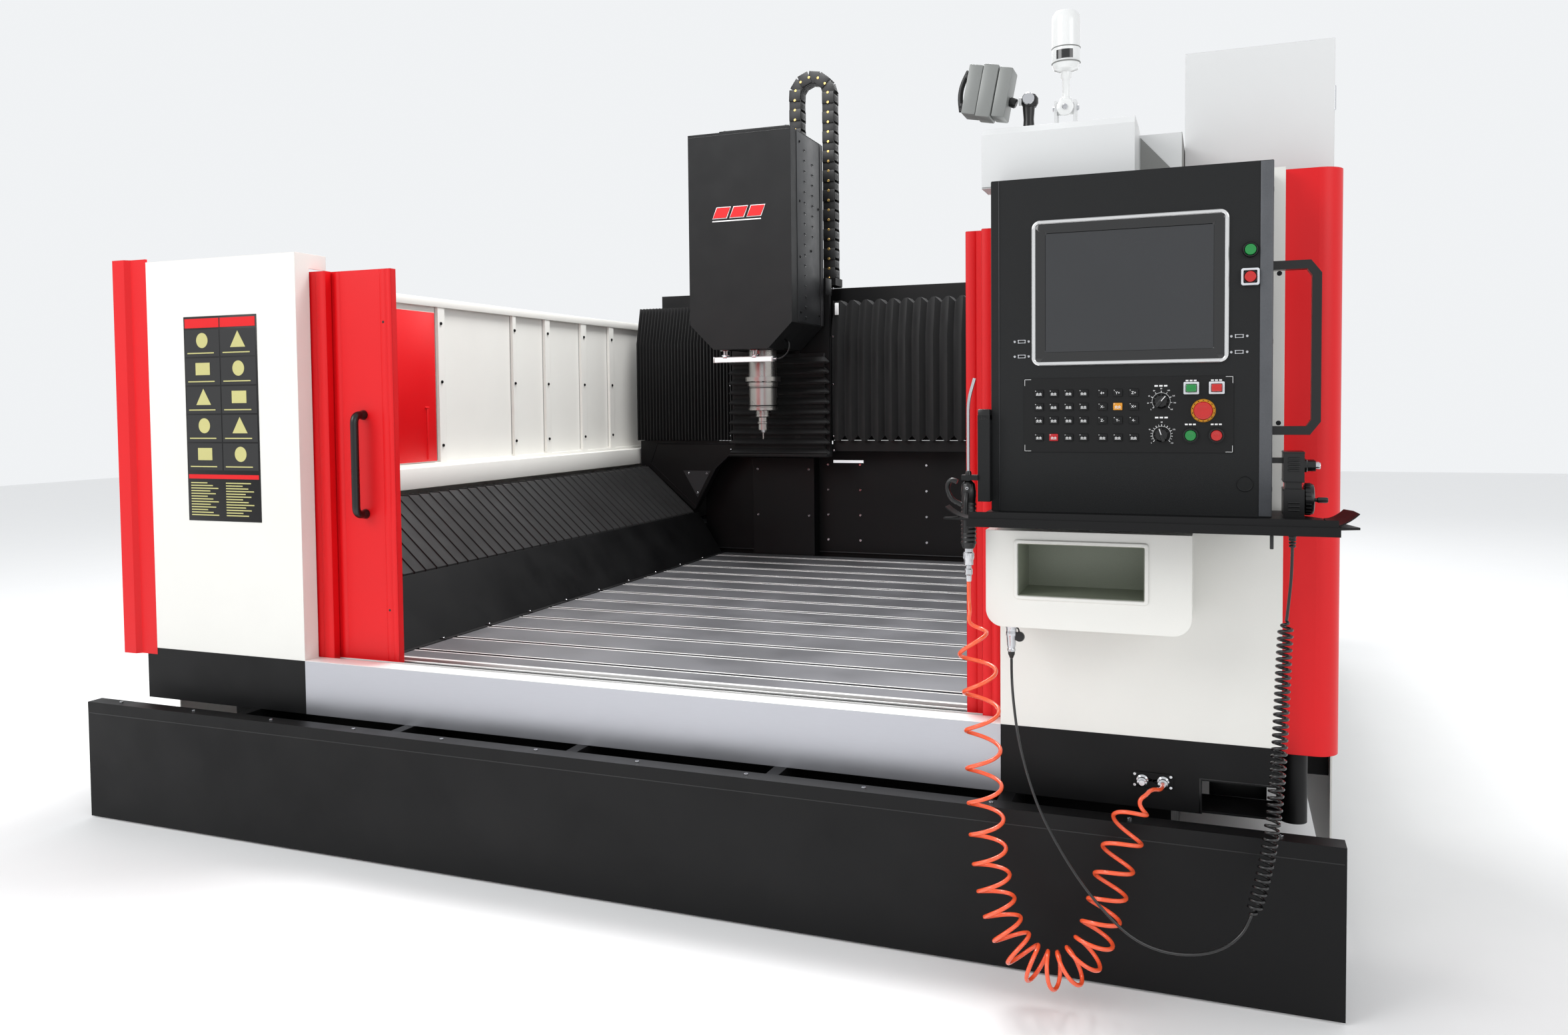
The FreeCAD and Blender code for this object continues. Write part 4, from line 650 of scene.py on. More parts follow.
def rounded(points: list[Point], radius: float, steps: int = 6) -> list[Vector]:
    """Round the corners of a bent bar's line.

    Args:
        points: The line's points.
        radius: How far before and after a corner its bend starts and ends.
        steps: How many straight bits make one bend.

    Returns:
        The line with its bends.
    """
    stops = [Vector(p) for p in points]
    line = [stops[0]]
    for before, corner, after in zip(stops, stops[1:], stops[2:]):
        entry = corner + (before - corner).normalized() * radius
        leave = corner + (after - corner).normalized() * radius
        line += [entry.lerp(corner, k / steps).lerp(corner.lerp(leave, k / steps), k / steps)
                 for k in range(steps + 1)]
    return line + [stops[-1]]


# ------------------------------------------------------------------------------------- studio

@dataclass
class Studio:
    """Camera, pale floor and soft lights."""

    eye: Point = (1.379, -4.0028, 1.1598)
    yaw: float = 21.4
    pitch: float = -2.3
    roll: float = -0.6
    lens_mm: float = 26.71
    shift: tuple[float, float] = (0.0136, -0.0436)
    floor_half: float = 16.0

    def camera(self) -> None:
        """Place the camera and make it the scene's own."""
        yaw, pitch, roll = map(math.radians, (self.yaw, self.pitch, self.roll))
        ahead = Vector((-math.sin(yaw) * math.cos(pitch), math.cos(yaw) * math.cos(pitch), math.sin(pitch)))
        level = Vector((math.cos(yaw), math.sin(yaw), 0))
        upright = level.cross(ahead)
        right = level * math.cos(roll) + upright * math.sin(roll)
        up = upright * math.cos(roll) - level * math.sin(roll)
        data = bpy.data.cameras.new("camera")
        data.lens, data.sensor_width = self.lens_mm, 36
        data.shift_x, data.shift_y = self.shift
        data.clip_start, data.clip_end = 0.05, 100
        holder = bpy.data.objects.new("camera", data)
        bpy.context.scene.collection.objects.link(holder)
        turn = Matrix((right, up, -ahead)).transposed().to_4x4()
        holder.matrix_world = Matrix.Translation(self.eye) @ turn
        bpy.context.scene.camera = holder

    def floor(self) -> None:
        """Lay the pale floor."""
        half = self.floor_half
        data = bpy.data.meshes.new("floor")
        data.from_pydata([(-half, -half, 0), (half, -half, 0), (half, half, 0), (-half, half, 0)], [], [(0, 1, 2, 3)])
        made = bpy.data.objects.new("floor", data)
        bpy.context.scene.collection.objects.link(made)
        data.materials.append(Finish("pale_floor", "white_paint", "#EDEDED", 0.7, mottle=0.01).material())

    def light(self, name: str, at: Point, target: Point, size: float, power: float) -> None:
        """Hang one softbox.

        Args:
            name: Its name.
            at: Where it hangs.
            target: What it points at.
            size: The length of its sides.
            power: Its power in watts.
        """
        data = bpy.data.lights.new(name, "AREA")
        data.size, data.energy = size, power
        holder = bpy.data.objects.new(name, data)
        bpy.context.scene.collection.objects.link(holder)
        holder.location = at
        holder.rotation_euler = (Vector(target) - Vector(at)).to_track_quat("-Z", "Y").to_euler()

    def build(self) -> None:
        """Set up the whole studio."""
        self.camera()
        self.floor()
        self.light("key_light", (-3.5, -6.0, 4.6), (0, -0.8, 0.9), 3.5, 180)
        self.light("fill_light", (5.5, -5.0, 3.0), (0.8, -0.8, 1.0), 3.0, 60)
        self.light("table_light", (-0.2, 0.3, 4.4), (0, 0, 0.4), 1.8, 210)
        self.light("rear_light", (-1.0, 6.0, 4.0), (0, 0.6, 1.2), 4.0, 90)
        world = bpy.data.worlds.new("studio")
        world.use_nodes = True
        sky = world.node_tree.nodes["Background"]
        sky.inputs["Color"].default_value = linear("#F6F8FA")
        sky.inputs["Strength"].default_value = 0.95
        bpy.context.scene.world = world
        bpy.context.scene.view_settings.view_transform = "Standard"


# ------------------------------------------------------------------------------------- cords

@dataclass
class CurlyCord:
    """A cord that is straight at both ends and wound into a spring between them.

    Attributes:
        name: The piece's name.
        finish: What its jacket is.
        route_mm: The points that its own line follows, from the exit.
        coil_runs: The first and last run of the route that the spring covers, from middle to middle.
        diameter_mm: Its thickness.
        coil_mm: Radius of the spring's turns at the middle of the cord.
        pitch_mm: The spring's pitch where it hangs lowest, and where it is pulled open.
        pitch_heights: The heights of those two places.
        length: Its real length; not used.
        stands_for: The CAD nodes that it replaces.
        facets: How many points of the spline make one turn.
    """

    name: str
    finish: Finish
    route_mm: list[Point]
    coil_runs: tuple[int, int]
    diameter_mm: float
    coil_mm: float
    pitch_mm: tuple[float, float]
    pitch_heights: tuple[float, float]
    length: float
    stands_for: tuple[str, ...]
    facets: int = 14

    def spline(self, points: list[Vector], thick: float) -> bpy.types.Object:
        """Make a smooth curve.

        Args:
            points: Its control points.
            thick: Radius of the round section along it, or zero for a bare line.

        Returns:
            The curve's object.
        """
        data = bpy.data.curves.new(self.name, "CURVE")
        data.dimensions = "3D"
        line = data.splines.new("NURBS")
        line.points.add(len(points) - 1)
        for knot, place in zip(line.points, points):
            knot.co = (*place, 1.0)
        line.order_u = 3
        line.use_endpoint_u = True
        data.resolution_u = 4 if thick else 24
        data.bevel_depth, data.bevel_resolution, data.use_fill_caps = thick, 4, True
        made = bpy.data.objects.new(self.name, data)
        bpy.context.scene.collection.objects.link(made)
        return made

    def centre_line(self, points: list[Vector]) -> list[Vector]:
        """Sample the smooth line of the route.

        Args:
            points: The route's control points.

        Returns:
            The points of the line, in order.
        """
        holder = self.spline(points, 0.0)
        bpy.context.view_layer.update()
        data = bpy.data.meshes.new_from_object(holder.evaluated_get(bpy.context.evaluated_depsgraph_get()))
        line = [v.co.copy() for v in data.vertices]
        bpy.data.objects.remove(holder)
        return line

    def helix(self, line: list[Vector]) -> list[Vector]:
        """Wind turns round a stretch of the centre line.

        Args:
            line: The stretch, from the spring's first point to its last.

        Returns:
            The points of the spring.
        """
        lengths = [(b - a).length for a, b in zip(line, line[1:])]
        total = sum(lengths)
        side = (line[1] - line[0]).orthogonal().normalized()
        turns, place, walked, step = [], 0, 0.0, 0.0
        angle, here = 0.0, 0.0
        while here < total:
            while place < len(lengths) - 1 and walked + lengths[place] < here:
                walked += lengths[place]
                place += 1
            ahead = (line[place + 1] - line[place]).normalized()
            centre = line[place] + ahead * (here - walked)
            side = (side - ahead * side.dot(ahead)).normalized()
            low, high = self.pitch_heights
            share = min(1.0, max(0.0, (centre.z - low) / max(high - low, 1e-6)))
            pitch = MM * (self.pitch_mm[0] + (self.pitch_mm[1] - self.pitch_mm[0]) * share)
            room = min(here, total - here) / (2 * self.coil_mm * MM)
            radius = self.coil_mm * MM * math.sin(min(1.0, room) * math.pi / 2) ** 2
            turns.append(centre + radius * (side * math.cos(angle) + ahead.cross(side) * math.sin(angle)))
            angle += math.tau / self.facets
            step = pitch / self.facets
            here += step
        return turns

    def build(self) -> None:
        route = [Vector(p) * MM for p in self.route_mm]
        line = self.centre_line(route)
        first, last = self.coil_runs
        ends = [(route[i] + route[i + 1]) / 2 for i in (first, last)]
        start, end = [min(range(len(line)), key=lambda k: (line[k] - place).length) for place in ends]
        points = route[:first + 1] + self.helix(line[start:end + 1]) + route[last + 1:]
        made = self.spline(points, self.diameter_mm * MM / 2)
        made.data.materials.append(self.finish.material())
        settle(made, self.finish, "machine", *self.stands_for)
        fine = self.centre_line(points)
        LOG.info("%s is %.3f m long", self.name, sum((b - a).length for a, b in zip(fine, fine[1:])))


AIR_HOSE = CurlyCord(
    "air_hose", HOSE_ORANGE,
    [(918, -1710, 800), (918, -1710, 765), (926, -1733, 722), (945, -1746, 640), (953, -1750, 520),
     (957, -1758, 400), (968, -1768, 262), (996, -1784, 150), (1046, -1796, 86), (1110, -1798, 76),
     (1163, -1786, 122), (1183, -1764, 196), (1200, -1738, 270), (1221, -1708, 340), (1243, -1680, 386),
     (1262, -1640, 398), (1279, -1606, 386), (1279, -1570, 386)],
    (1, 14), 8.0, 33.5, (34.0, 76.0), (0.09, 0.5), 4.61, ("air_hose_coil", "air_hose_tails"))
PENDANT_LEAD = CurlyCord(
    "pendant_lead", LEAD_BLACK,
    [(1507.5, -1655, 895), (1507.5, -1655, 840), (1502, -1661, 782), (1495, -1670, 720), (1490, -1692, 600),
     (1483, -1720, 470), (1470, -1745, 346), (1449, -1760, 250), (1425, -1772, 193), (1392, -1784, 164),
     (1343, -1802, 153), (1286, -1822, 160), (1233, -1834, 184), (1182, -1834, 231), (1140, -1822, 276),
     (1101, -1800, 324), (1065, -1774, 375), (1037, -1745, 433), (1016, -1716, 492), (1002, -1685, 553),
     (993, -1655, 600), (993, -1655, 640)],
    (2, 7), 5.5, 11.75, (12.5, 12.5), (0.0, 1.0), 4.02, ("pendant_coil", "pendant_leads"))


# ------------------------------------------------------------------------------------- covers that fold

@dataclass
class Folds:
    """The pleated covers over the rails of the machine, the bridge and the head."""

    front_end: float = -1.42
    bridge_front: float = 1.153
    bridge_back: float = 1.544
    rear_end: float = 1.79
    bridge_half: float = 1.298
    saddle_left: float = -0.7815
    saddle_right: float = -0.2925
    way_low: float = 0.917
    way_high: float = 0.468
    front_pitch: float = 0.0572
    rear_pitch: float = 0.0103
    wide_pitch: float = 0.0636
    dense_pitch: float = 0.0172
    way_pitch: float = 0.0468
    cloth: float = 0.0012

    def roof(self, name: str, sign: int, start: float, end: float, pitch: float,
             ridge: list[tuple[float, float]]) -> bpy.types.Object:
        """Make the folding roof over one rail beam.

        Args:
            name: The piece's name.
            sign: 1 on the right and -1 on the left.
            start: Where it starts along Y.
            end: Where it ends.
            pitch: The length of one fold.
            ridge: For each point of one fold, its share of the pitch and its depth under the crown.

        Returns:
            The piece.
        """
        line = [(1.294, 0.85), (1.25, 0.85), (1.006, 0.632), (1.006, 0.5605)]
        count = round((end - start) / pitch)
        step = (end - start) / count
        rows = [[(sign * p.x, start + (fold + share) * step, p.y) for p in inset(line, depth)]
                for fold in range(count) for share, depth in ridge]
        return Form().sheet(rows, self.cloth).piece(name, BELLOWS_CLOTH, None)

    def over_rails(self) -> None:
        """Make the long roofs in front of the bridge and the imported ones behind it."""
        slat = [(0, 0.0055), (0.86, 0.0045), (0.89, 0.0004), (0.96, 0.0004), (0.99, 0.0055)]
        pleat = [(0, 0.009), (0.5, 0.0005), (0.99, 0.009)]
        for sign, side in ((-1, "left"), (1, "right")):
            front = self.roof(f"roof_cover_front_{side}", sign, self.front_end, self.bridge_front,
                              self.front_pitch, slat)
            settle(front, BELLOWS_CLOTH, "machine", "y_bellows_front")
            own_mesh(front)
            rear = self.roof(f"roof_cover_rear_{side}", sign, self.bridge_back, self.rear_end,
                             self.rear_pitch, pleat)
            settle(rear, BELLOWS_CLOTH, None, "y_bellows_rear")
            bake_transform(rear)

    def curtain(self, name: str, start: float, end: float, pitch: float, deep: float) -> bpy.types.Object:
        """Make a pleated curtain over the bridge's rails.

        Args:
            name: The piece's name.
            start: Where it starts along X.
            end: Where it ends.
            pitch: The length of one fold.
            deep: The depth of a fold's crease.

        Returns:
            The piece.
        """
        line = [(1.159, 0.979), (1.1205, 0.979), (1.1205, 1.452), (1.165, 1.6275), (1.26, 1.6275)]
        count = round((end - start) / pitch)
        step = (end - start) / count
        crease = [(0, deep), (0.36, deep * 0.08), (0.56, 0.0), (0.62, 0.0), (0.98, deep)]
        rows = [[(start + (fold + share) * step, p.x, p.y) for p in inset(line, -depth)]
                for fold in range(count) for share, depth in crease]
        return Form().sheet(rows, self.cloth).piece(name, BELLOWS_CLOTH, None)

    def over_bridge(self) -> None:
        """Make the long curtain on the saddle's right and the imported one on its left."""
        wide = self.curtain("bridge_cover_right", self.saddle_right, self.bridge_half, self.wide_pitch, 0.024)
        settle(wide, BELLOWS_CLOTH, "gantry", "x_bellows_right")
        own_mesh(wide)
        dense = self.curtain("bridge_cover_left", -self.bridge_half, self.saddle_left, self.dense_pitch, 0.013)
        settle(dense, BELLOWS_CLOTH, None, "x_bellows_left")
        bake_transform(dense)
        frame = Form()
        for x in (-0.2905, 1.2965):
            frame.slab((x, 1.1195, 0.978), (x + 0.003, 1.165, 1.46), 0.001)
            frame.slab((x, 1.166, 1.5), (x + 0.003, 1.26, 1.628), 0.001)
        frame.piece("bridge_cover_ends", BLACK_COAT, "gantry")
        tag = Form().slab((-0.274, 1.1462, 1.56), (-0.256, 1.1502, 1.615), 0.0008)
        tag.piece("cover_tag", LEGEND, "gantry")

    def over_head_way(self) -> None:
        """Make the slatted cover below the head."""
        line = [(-0.7805, 1.1195), (-0.7805, 1.0745), (-0.2935, 1.0745), (-0.2935, 1.1195)]
        count = round(self.way_high / self.way_pitch)
        step = self.way_high / count
        slat = [(0, 0.002), (0.1, 0.0), (0.16, 0.0), (0.62, 0.022), (0.98, 0.02)]
        rows = [[(p.x, p.y, self.way_low + (fold + share) * step) for p in inset(line, depth)]
                for fold in range(count) for share, depth in slat]
        cover = Form().sheet(rows, 0.0015).piece("head_way_cover", BELLOWS_CLOTH, "saddle_carriage", "z_way_cover")
        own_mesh(cover)

    def build(self) -> None:
        """Make every folding cover."""
        self.over_rails()
        self.over_bridge()
        self.over_head_way()


@dataclass
class CableChain:
    """Cable chain that loops from the saddle over to the head, link by link."""

    left: float = -0.477
    right: float = -0.315
    foot: float = 1.735
    head: float = 2.346
    arch: float = 2.59
    near: float = 1.19
    far: float = 1.27
    thick: float = 0.06
    pitch: float = 0.0455
    travel: float = 0.4
    spread: float = 5.0

    def place(self, along: float) -> Matrix:
        """Find where a link sits.

        Args:
            along: The link's distance along the chain from its foot on the saddle.

        Returns:
            The link's matrix, whose X runs along the chain and whose Z points out of the loop.
        """
        middle, radius = (self.left + self.right) / 2, (self.right - self.left) / 2
        rise, bend = self.arch - self.foot, math.pi * radius
        if along < rise:
            spot, turn = Vector((self.right, 0, self.foot + along)), 0.0
        elif along < rise + bend:
            turn = (along - rise) / radius
            spot = Vector((middle + radius * math.cos(turn), 0, self.arch + radius * math.sin(turn)))
        else:
            turn = math.pi
            spot = Vector((self.left, 0, self.arch - (along - rise - bend)))
        spot.y = (self.near + self.far) / 2
        ahead = Vector((-math.sin(turn), 0, math.cos(turn)))
        out = Vector((math.cos(turn), 0, math.sin(turn)))
        frame = Matrix((ahead, out.cross(ahead), out)).transposed().to_4x4()
        return Matrix.Translation(spot) @ frame

    def link(self, form: Form, place: Matrix, narrow: bool) -> None:
        """Add one link: two side plates with their step, and the lids outside and inside.

        Args:
            form: The form that gets it.
            place: The link's matrix.
            narrow: Whether its plates lie inside its neighbours'.
        """
        half = (self.far - self.near) / 2
        inner = 0.004 if narrow else 0.0
        for side in (-1, 1):
            y = side * (half - 0.003 - inner)
            form.block((self.pitch * 1.16, 0.004, self.thick * 0.94), place @ Matrix.Translation((0, y, 0)), 0.0016)
            form.block((self.pitch * 0.5, 0.0025, self.thick * 0.5), place @ Matrix.Translation((0, y, 0)), 0.001)
        for out in (-1, 1):
            lid = place @ Matrix.Translation((0, 0, out * (self.thick / 2 - 0.003)))
            form.block((self.pitch * 0.74, 2 * half - 0.02, 0.004), lid, 0.001)
            raised = lid @ Matrix.Translation((0, 0, out * 0.0022))
            for x, y, size_x, size_y in ((0, 0.013, 0.018, 0.0022), (0, -0.013, 0.018, 0.0022),
                                         (0.008, 0, 0.0022, 0.026), (-0.008, 0, 0.0022, 0.026)):
                form.block((size_x, size_y, 0.0014), raised @ Matrix.Translation((x, y, 0)), 0.0005)

    def build(self) -> None:
        """Make the two strands and the arch, each with its pins.
        """
        rise, bend = self.arch - self.foot, math.pi * (self.right - self.left) / 2
        total = rise + bend + (self.arch - self.head)
        count = round(total / self.pitch)
        step = total / count
        runs = {name: (Form(), Form()) for name in ("long_strand", "arch", "short_strand")}

        def run(along: float) -> tuple[Form, Form]:
            """Pick the links' and pins' forms at a distance along the chain."""
            return runs["long_strand" if along < rise else "arch" if along < rise + bend else "short_strand"]

        for k in range(count):
            self.link(run((k + 0.5) * step)[0], self.place((k + 0.5) * step), k % 2 == 1)
            joint = self.place(k * step)
            for side in (-1, 1):
                out = side * (self.far - self.near) / 2
                inner, outer = joint @ Vector((0, out - side * 0.003, 0)), joint @ Vector((0, out, 0))
                run(k * step)[1].rod(inner, outer, 0.0062, 0.001, 12)
        for name, forms in runs.items():
            for form, finish, kind in zip(forms, (CHAIN_NYLON, CHAIN_PIN), ("links", "pins")):
                body = "saddle_carriage" if name == "long_strand" else None
                made = form.piece(f"cable_chain_{name}_{kind}", finish, body, "z_cable_chain")
                if name == "long_strand":
                    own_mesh(made)
                    continue
                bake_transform(made)


# ------------------------------------------------------------------------------------- head and bridge

@dataclass
class Head:
    """Cover of the head with its louvres, the spindle's details and the strip light."""

    left: float = -0.793
    right: float = -0.315
    front: float = 0.678
    low: float = 1.393
    high: float = 2.33
    slot_pitch: float = 0.0455
    axis: tuple[float, float] = (-0.554, 0.94)

    def side_plate(self, sign: int) -> None:
        """Make one side's louvred plate, its rail and its screws, with black patches of painted shade in the slots.

        Args:
            sign: 1 on the right and -1 on the left.
        """
        face = self.right if sign > 0 else self.left
        name = "right" if sign > 0 else "left"

        def span(a: float, b: float) -> tuple[float, float]:
            """Turn two heights above the side into X, the lower one first."""
            return (face + a, face + b) if sign > 0 else (face - b, face - a)

        low, high = span(-0.001, 0.0022)
        plate = Form().slab((low, self.front + 0.075, 1.508), (high, 1.052, 2.324), 0.0008)
        rail_low, rail_high = span(-0.001, 0.006)
        plate.slab((rail_low, 1.058, 1.506), (rail_high, 1.072, 2.326), 0.002)
        plate.slab((rail_low, 1.078, 1.506), (rail_high, 1.09, 2.326), 0.002)
        dark, screws = Form(), Form()
        for y, first, count in ((0.85, 2.255, 17), (0.955, 2.21, 8)):
            for row in range(count):
                z = first - row * self.slot_pitch
                # A black patch in each slot under its lip: painted shade.
                gap = span(0.0016, 0.0028)
                dark.slab((gap[0], y - 0.008, z - 0.0042), (gap[1], y + 0.008, z + 0.0042), 0.0006)
                lip = span(0.0015, 0.0062)
                plate.slab((lip[0], y - 0.0095, z + 0.003), (lip[1], y + 0.0095, z + 0.0075), 0.0015)
        for y, z in ((0.785, 2.285), (0.785, 2.03), (0.785, 1.79), (0.785, 1.55), (1.035, 2.03), (1.035, 1.55),
                     (0.93, 1.83)):
            screws.screw((span(0.002, 0.002)[0], y, z), (sign, 0, 0), 0.006)
        # The plate is drawn in the lighter coat: painted light.
        plate.piece(f"head_side_{name}", SAND_COAT_LIT, "spindle_head")
        dark.piece(f"head_louvre_shade_{name}", BLACK_NYLON, "spindle_head")
        screws.piece(f"head_screws_{name}", SCREW_BLACK, "spindle_head")

    def front_bars(self) -> None:
        """Three slanted bars on the cover, with a thin bright line under them."""
        red, white = Form(), Form()
        y = self.front
        for x, wide in ((-0.676, 0.062), (-0.596, 0.062), (-0.516, 0.062)):
            slant = 0.02
            for form, grow, proud in ((white, 0.003, 0.0012), (red, 0.0, 0.0032)):
                form.prism([(x - grow, y, 1.962 - grow), (x + wide + grow, y, 1.962 - grow),
                            (x + wide + slant + grow, y, 2.006 + grow), (x + slant - grow, y, 2.006 + grow)],
                           (0, -proud, 0))
        white.slab((-0.68, y - 0.0008, 1.946), (-0.452, y, 1.951), 0.0003)
        red.piece("head_bars", RED_COAT, "spindle_head")
        white.piece("head_bar_edges", LEGEND, "spindle_head")

    def top(self) -> None:
        """The raised lid on the cover."""
        lid = Form().slab((-0.66, 0.715, self.high), (-0.335, 0.972, self.high + 0.014), 0.003)
        lid.slab((-0.785, 0.69, self.high - 0.001), (-0.323, 0.70, self.high + 0.003), 0.001)
        lid.piece("head_lid", SAND_COAT, "spindle_head")
        screws = Form()
        for x in (-0.64, -0.355):
            for y in (0.735, 0.95):
                screws.screw((x, y, self.high + 0.014), (0, 0, 1), 0.006)
        screws.piece("head_lid_screws", SCREW_BLACK, "spindle_head")
        seam = Form().slab((self.left + 0.004, self.front - 0.0004, 2.318),
                           (self.right - 0.004, self.front + 0.002, 2.3195))
        seam.piece("head_seam", BLACK_NYLON, "spindle_head")

    def spindle(self) -> None:
        """Clamp ring and bolts of the spindle, with black bands of painted shade in its grooves."""
        x, y = self.axis
        steel, dark, bolts = Form(), Form(), Form()
        steel.turned([(0.0645, 0), (0.069, 0.002), (0.069, 0.018), (0.0645, 0.02)], (x, y, 1.232), sides=48)
        steel.turned([(0.0645, 0), (0.0665, 0.0015), (0.0665, 0.0125), (0.0645, 0.014)], (x, y, 1.1235), sides=48)
        # Black bands in the grooves: painted shade.
        dark.turned([(0.0643, 0), (0.0649, 0.001), (0.0649, 0.005), (0.0643, 0.006)], (x, y, 1.142), sides=48)
        dark.turned([(0.0643, 0), (0.0649, 0.001), (0.0649, 0.003), (0.0643, 0.004)], (x, y, 1.224), sides=48)
        for k in range(8):
            angle = math.tau * (k + 0.5) / 8
            spot = (x + 0.0725 * math.cos(angle), y + 0.0725 * math.sin(angle), 1.2555)
            bolts.screw(spot, (0, 0, -1), 0.0055)
            spot = (x + 0.05 * math.cos(angle), y + 0.05 * math.sin(angle), 1.1235)
            bolts.screw(spot, (0, 0, -1), 0.004)
        steel.piece("spindle_rings", SPINDLE_STEEL, "spindle_head")
        dark.piece("spindle_groove_shade", BLACK_NYLON, "spindle_head")
        bolts.piece("spindle_bolts", SCREW_BLACK, "spindle_head")
        nose = Form().turned([(0.0225, 0), (0.0255, 0.002), (0.0255, 0.009), (0.0225, 0.011)], (x, y, 1.062))
        nose.turned([(0.0332, 0), (0.0348, 0.001), (0.0348, 0.005), (0.0332, 0.006)], (x, y, 1.106), sides=40)
        nose.piece("holder_rings", SPINDLE_STEEL, "spindle")
        keys = Form()
        for side in (-1, 1):
            middle = x + side * 0.028
            keys.slab((middle - 0.006, y - 0.008, 1.0965), (middle + 0.006, y + 0.008, 1.1215), 0.001)
        keys.piece("drive_keys", SCREW_BLACK, "spindle")

    def strip_light(self) -> None:
        """End caps, clamps and conduit of the strip light."""
        caps, clamps = Form(), Form()
        for x in (-0.7145, -0.438):
            caps.slab((x, 0.7465, 1.3365), (x + 0.0065, 0.7755, 1.3635), 0.002)
        for x in (-0.658, -0.518):
            clamps.slab((x - 0.012, 0.7455, 1.356), (x + 0.012, 0.7765, 1.3665), 0.002)
            clamps.slab((x - 0.017, 0.752, 1.366), (x + 0.017, 0.77, 1.3715), 0.0015)
            clamps.rod((x - 0.007, 0.761, 1.37), (x - 0.007, 0.761, 1.3935), 0.0045, 0.0008, 12)
            clamps.slab((x - 0.022, 0.749, 1.3885), (x + 0.014, 0.773, 1.3925), 0.0012)
        caps.piece("light_caps", BEZEL, "spindle_head")
        clamps.piece("light_clamps", CHROME, "spindle_head")
        line = rounded([(-0.434, 0.761, 1.35), (-0.398, 0.761, 1.351), (-0.364, 0.764, 1.378), (-0.36, 0.768, 1.42),
                        (-0.388, 0.772, 1.436)], 0.018)
        conduit = Form().tube(line, 0.0042, 12)
        conduit.piece("light_conduit", BLACK_NYLON, "spindle_head")
        glands = Form().rod((-0.4325, 0.761, 1.35), (-0.418, 0.761, 1.3502), 0.0065, 0.001, 16)
        glands.piece("light_gland", CHROME, "spindle_head")
        lens = Form().slab((-0.706, 0.7474, 1.341), (-0.4385, 0.7482, 1.3585), 0.0003)
        lens.piece("light_lens", GLOWING_LENS, "spindle_head")

    def build(self) -> None:
        """Dress the head's nodes and make its details."""
        dress(SAND_COAT, "head_cover")
        dress(CASTING, "z_ram")
        dress(SPINDLE_STEEL, "spindle_housing", "spindle_nose")
        dress(LAMP_WHITE, "light_bar")
        for sign in (-1, 1):
            self.side_plate(sign)
        self.front_bars()
        self.top()
        self.spindle()
        self.strip_light()


@dataclass
class Bridge:
    """The bridge's leg covers, trims and screws, and the saddle's plate."""

    beam: float = 1.29

    def build(self) -> None:
        """Dress the bridge and the saddle and make their details."""
        dress(BLACK_COAT, "gantry_beam", "saddle")
        trims, screws, seams = Form(), Form(), Form()
        for sign in (-1, 1):
            corner = [(0.994, 0.656), (0.885, 0.845), (0.756, 0.962), (1.2, 0.962), (1.236, 0.865)]
            outline = [(sign * x, 1.1538, z) for x, z in corner]
            for a, b in zip(outline, outline[1:] + outline[:1]):
                start, end = Vector(a), Vector(b)
                trims.tube([start, start.lerp(end, 0.5), end], 0.0022, 8)
            panel = [(0.985, 0.70), (0.915, 0.83), (1.06, 0.83)]
            seams.prism([(sign * x, 1.1545, z) for x, z in panel], (0, -0.0016, 0))
            for x, z in ((0.985, 0.722), (0.935, 0.818), (1.03, 0.818)):
                screws.screw((sign * x, 1.153, z), (0, -1, 0), 0.0055)
            for z in (1.02, 1.2, 1.38, 1.54):
                screws.screw((sign * self.beam, 1.36, z), (sign, 0, 0), 0.01)
            seams.slab((sign * self.beam - 0.0015, 1.25, 1.01), (sign * self.beam + 0.0015, 1.47, 1.57), 0.001)
        for z in (0.935, 1.0, 1.24, 1.46, 1.68):
            screws.screw((-0.279, 1.135, z), (1, 0, 0), 0.006)
            screws.screw((-0.795, 1.135, z), (-1, 0, 0), 0.006)
        for x in (-1.1, -0.7, -0.3, 0.1, 0.5, 0.9):
            seams.slab((x, 1.5195, 1.04), (x + 0.3, 1.5215, 1.54), 0.001)
            for dx in (0.02, 0.28):
                for z in (1.06, 1.52):
                    screws.screw((x + dx, 1.5215, z), (0, 1, 0), 0.007)
        trims.piece("bridge_trims", SCREW_BLACK, "gantry")
        # The bridge's panels are drawn in the lighter coat: painted light.
        seams.piece("bridge_panels", SAND_COAT_LIT, "gantry")
        screws.piece("bridge_screws", CHROME, "gantry")
        Form().slab((-0.29, 1.1555, 0.93), (self.beam - 0.3, 1.1575, 0.98)).piece("bridge_apron", BLACK_COAT, "gantry")
        flange = Form()
        flange.slab((-0.781, 1.066, 0.9045), (-0.293, 1.0705, 0.918), 0.001)
        flange.slab((-0.281, 1.03, 1.645), (-0.277, 1.11, 1.72), 0.001)
        flange.piece("saddle_flanges", BLACK_COAT, "saddle_carriage")


# ------------------------------------------------------------------------------------- bed, table and enclosure

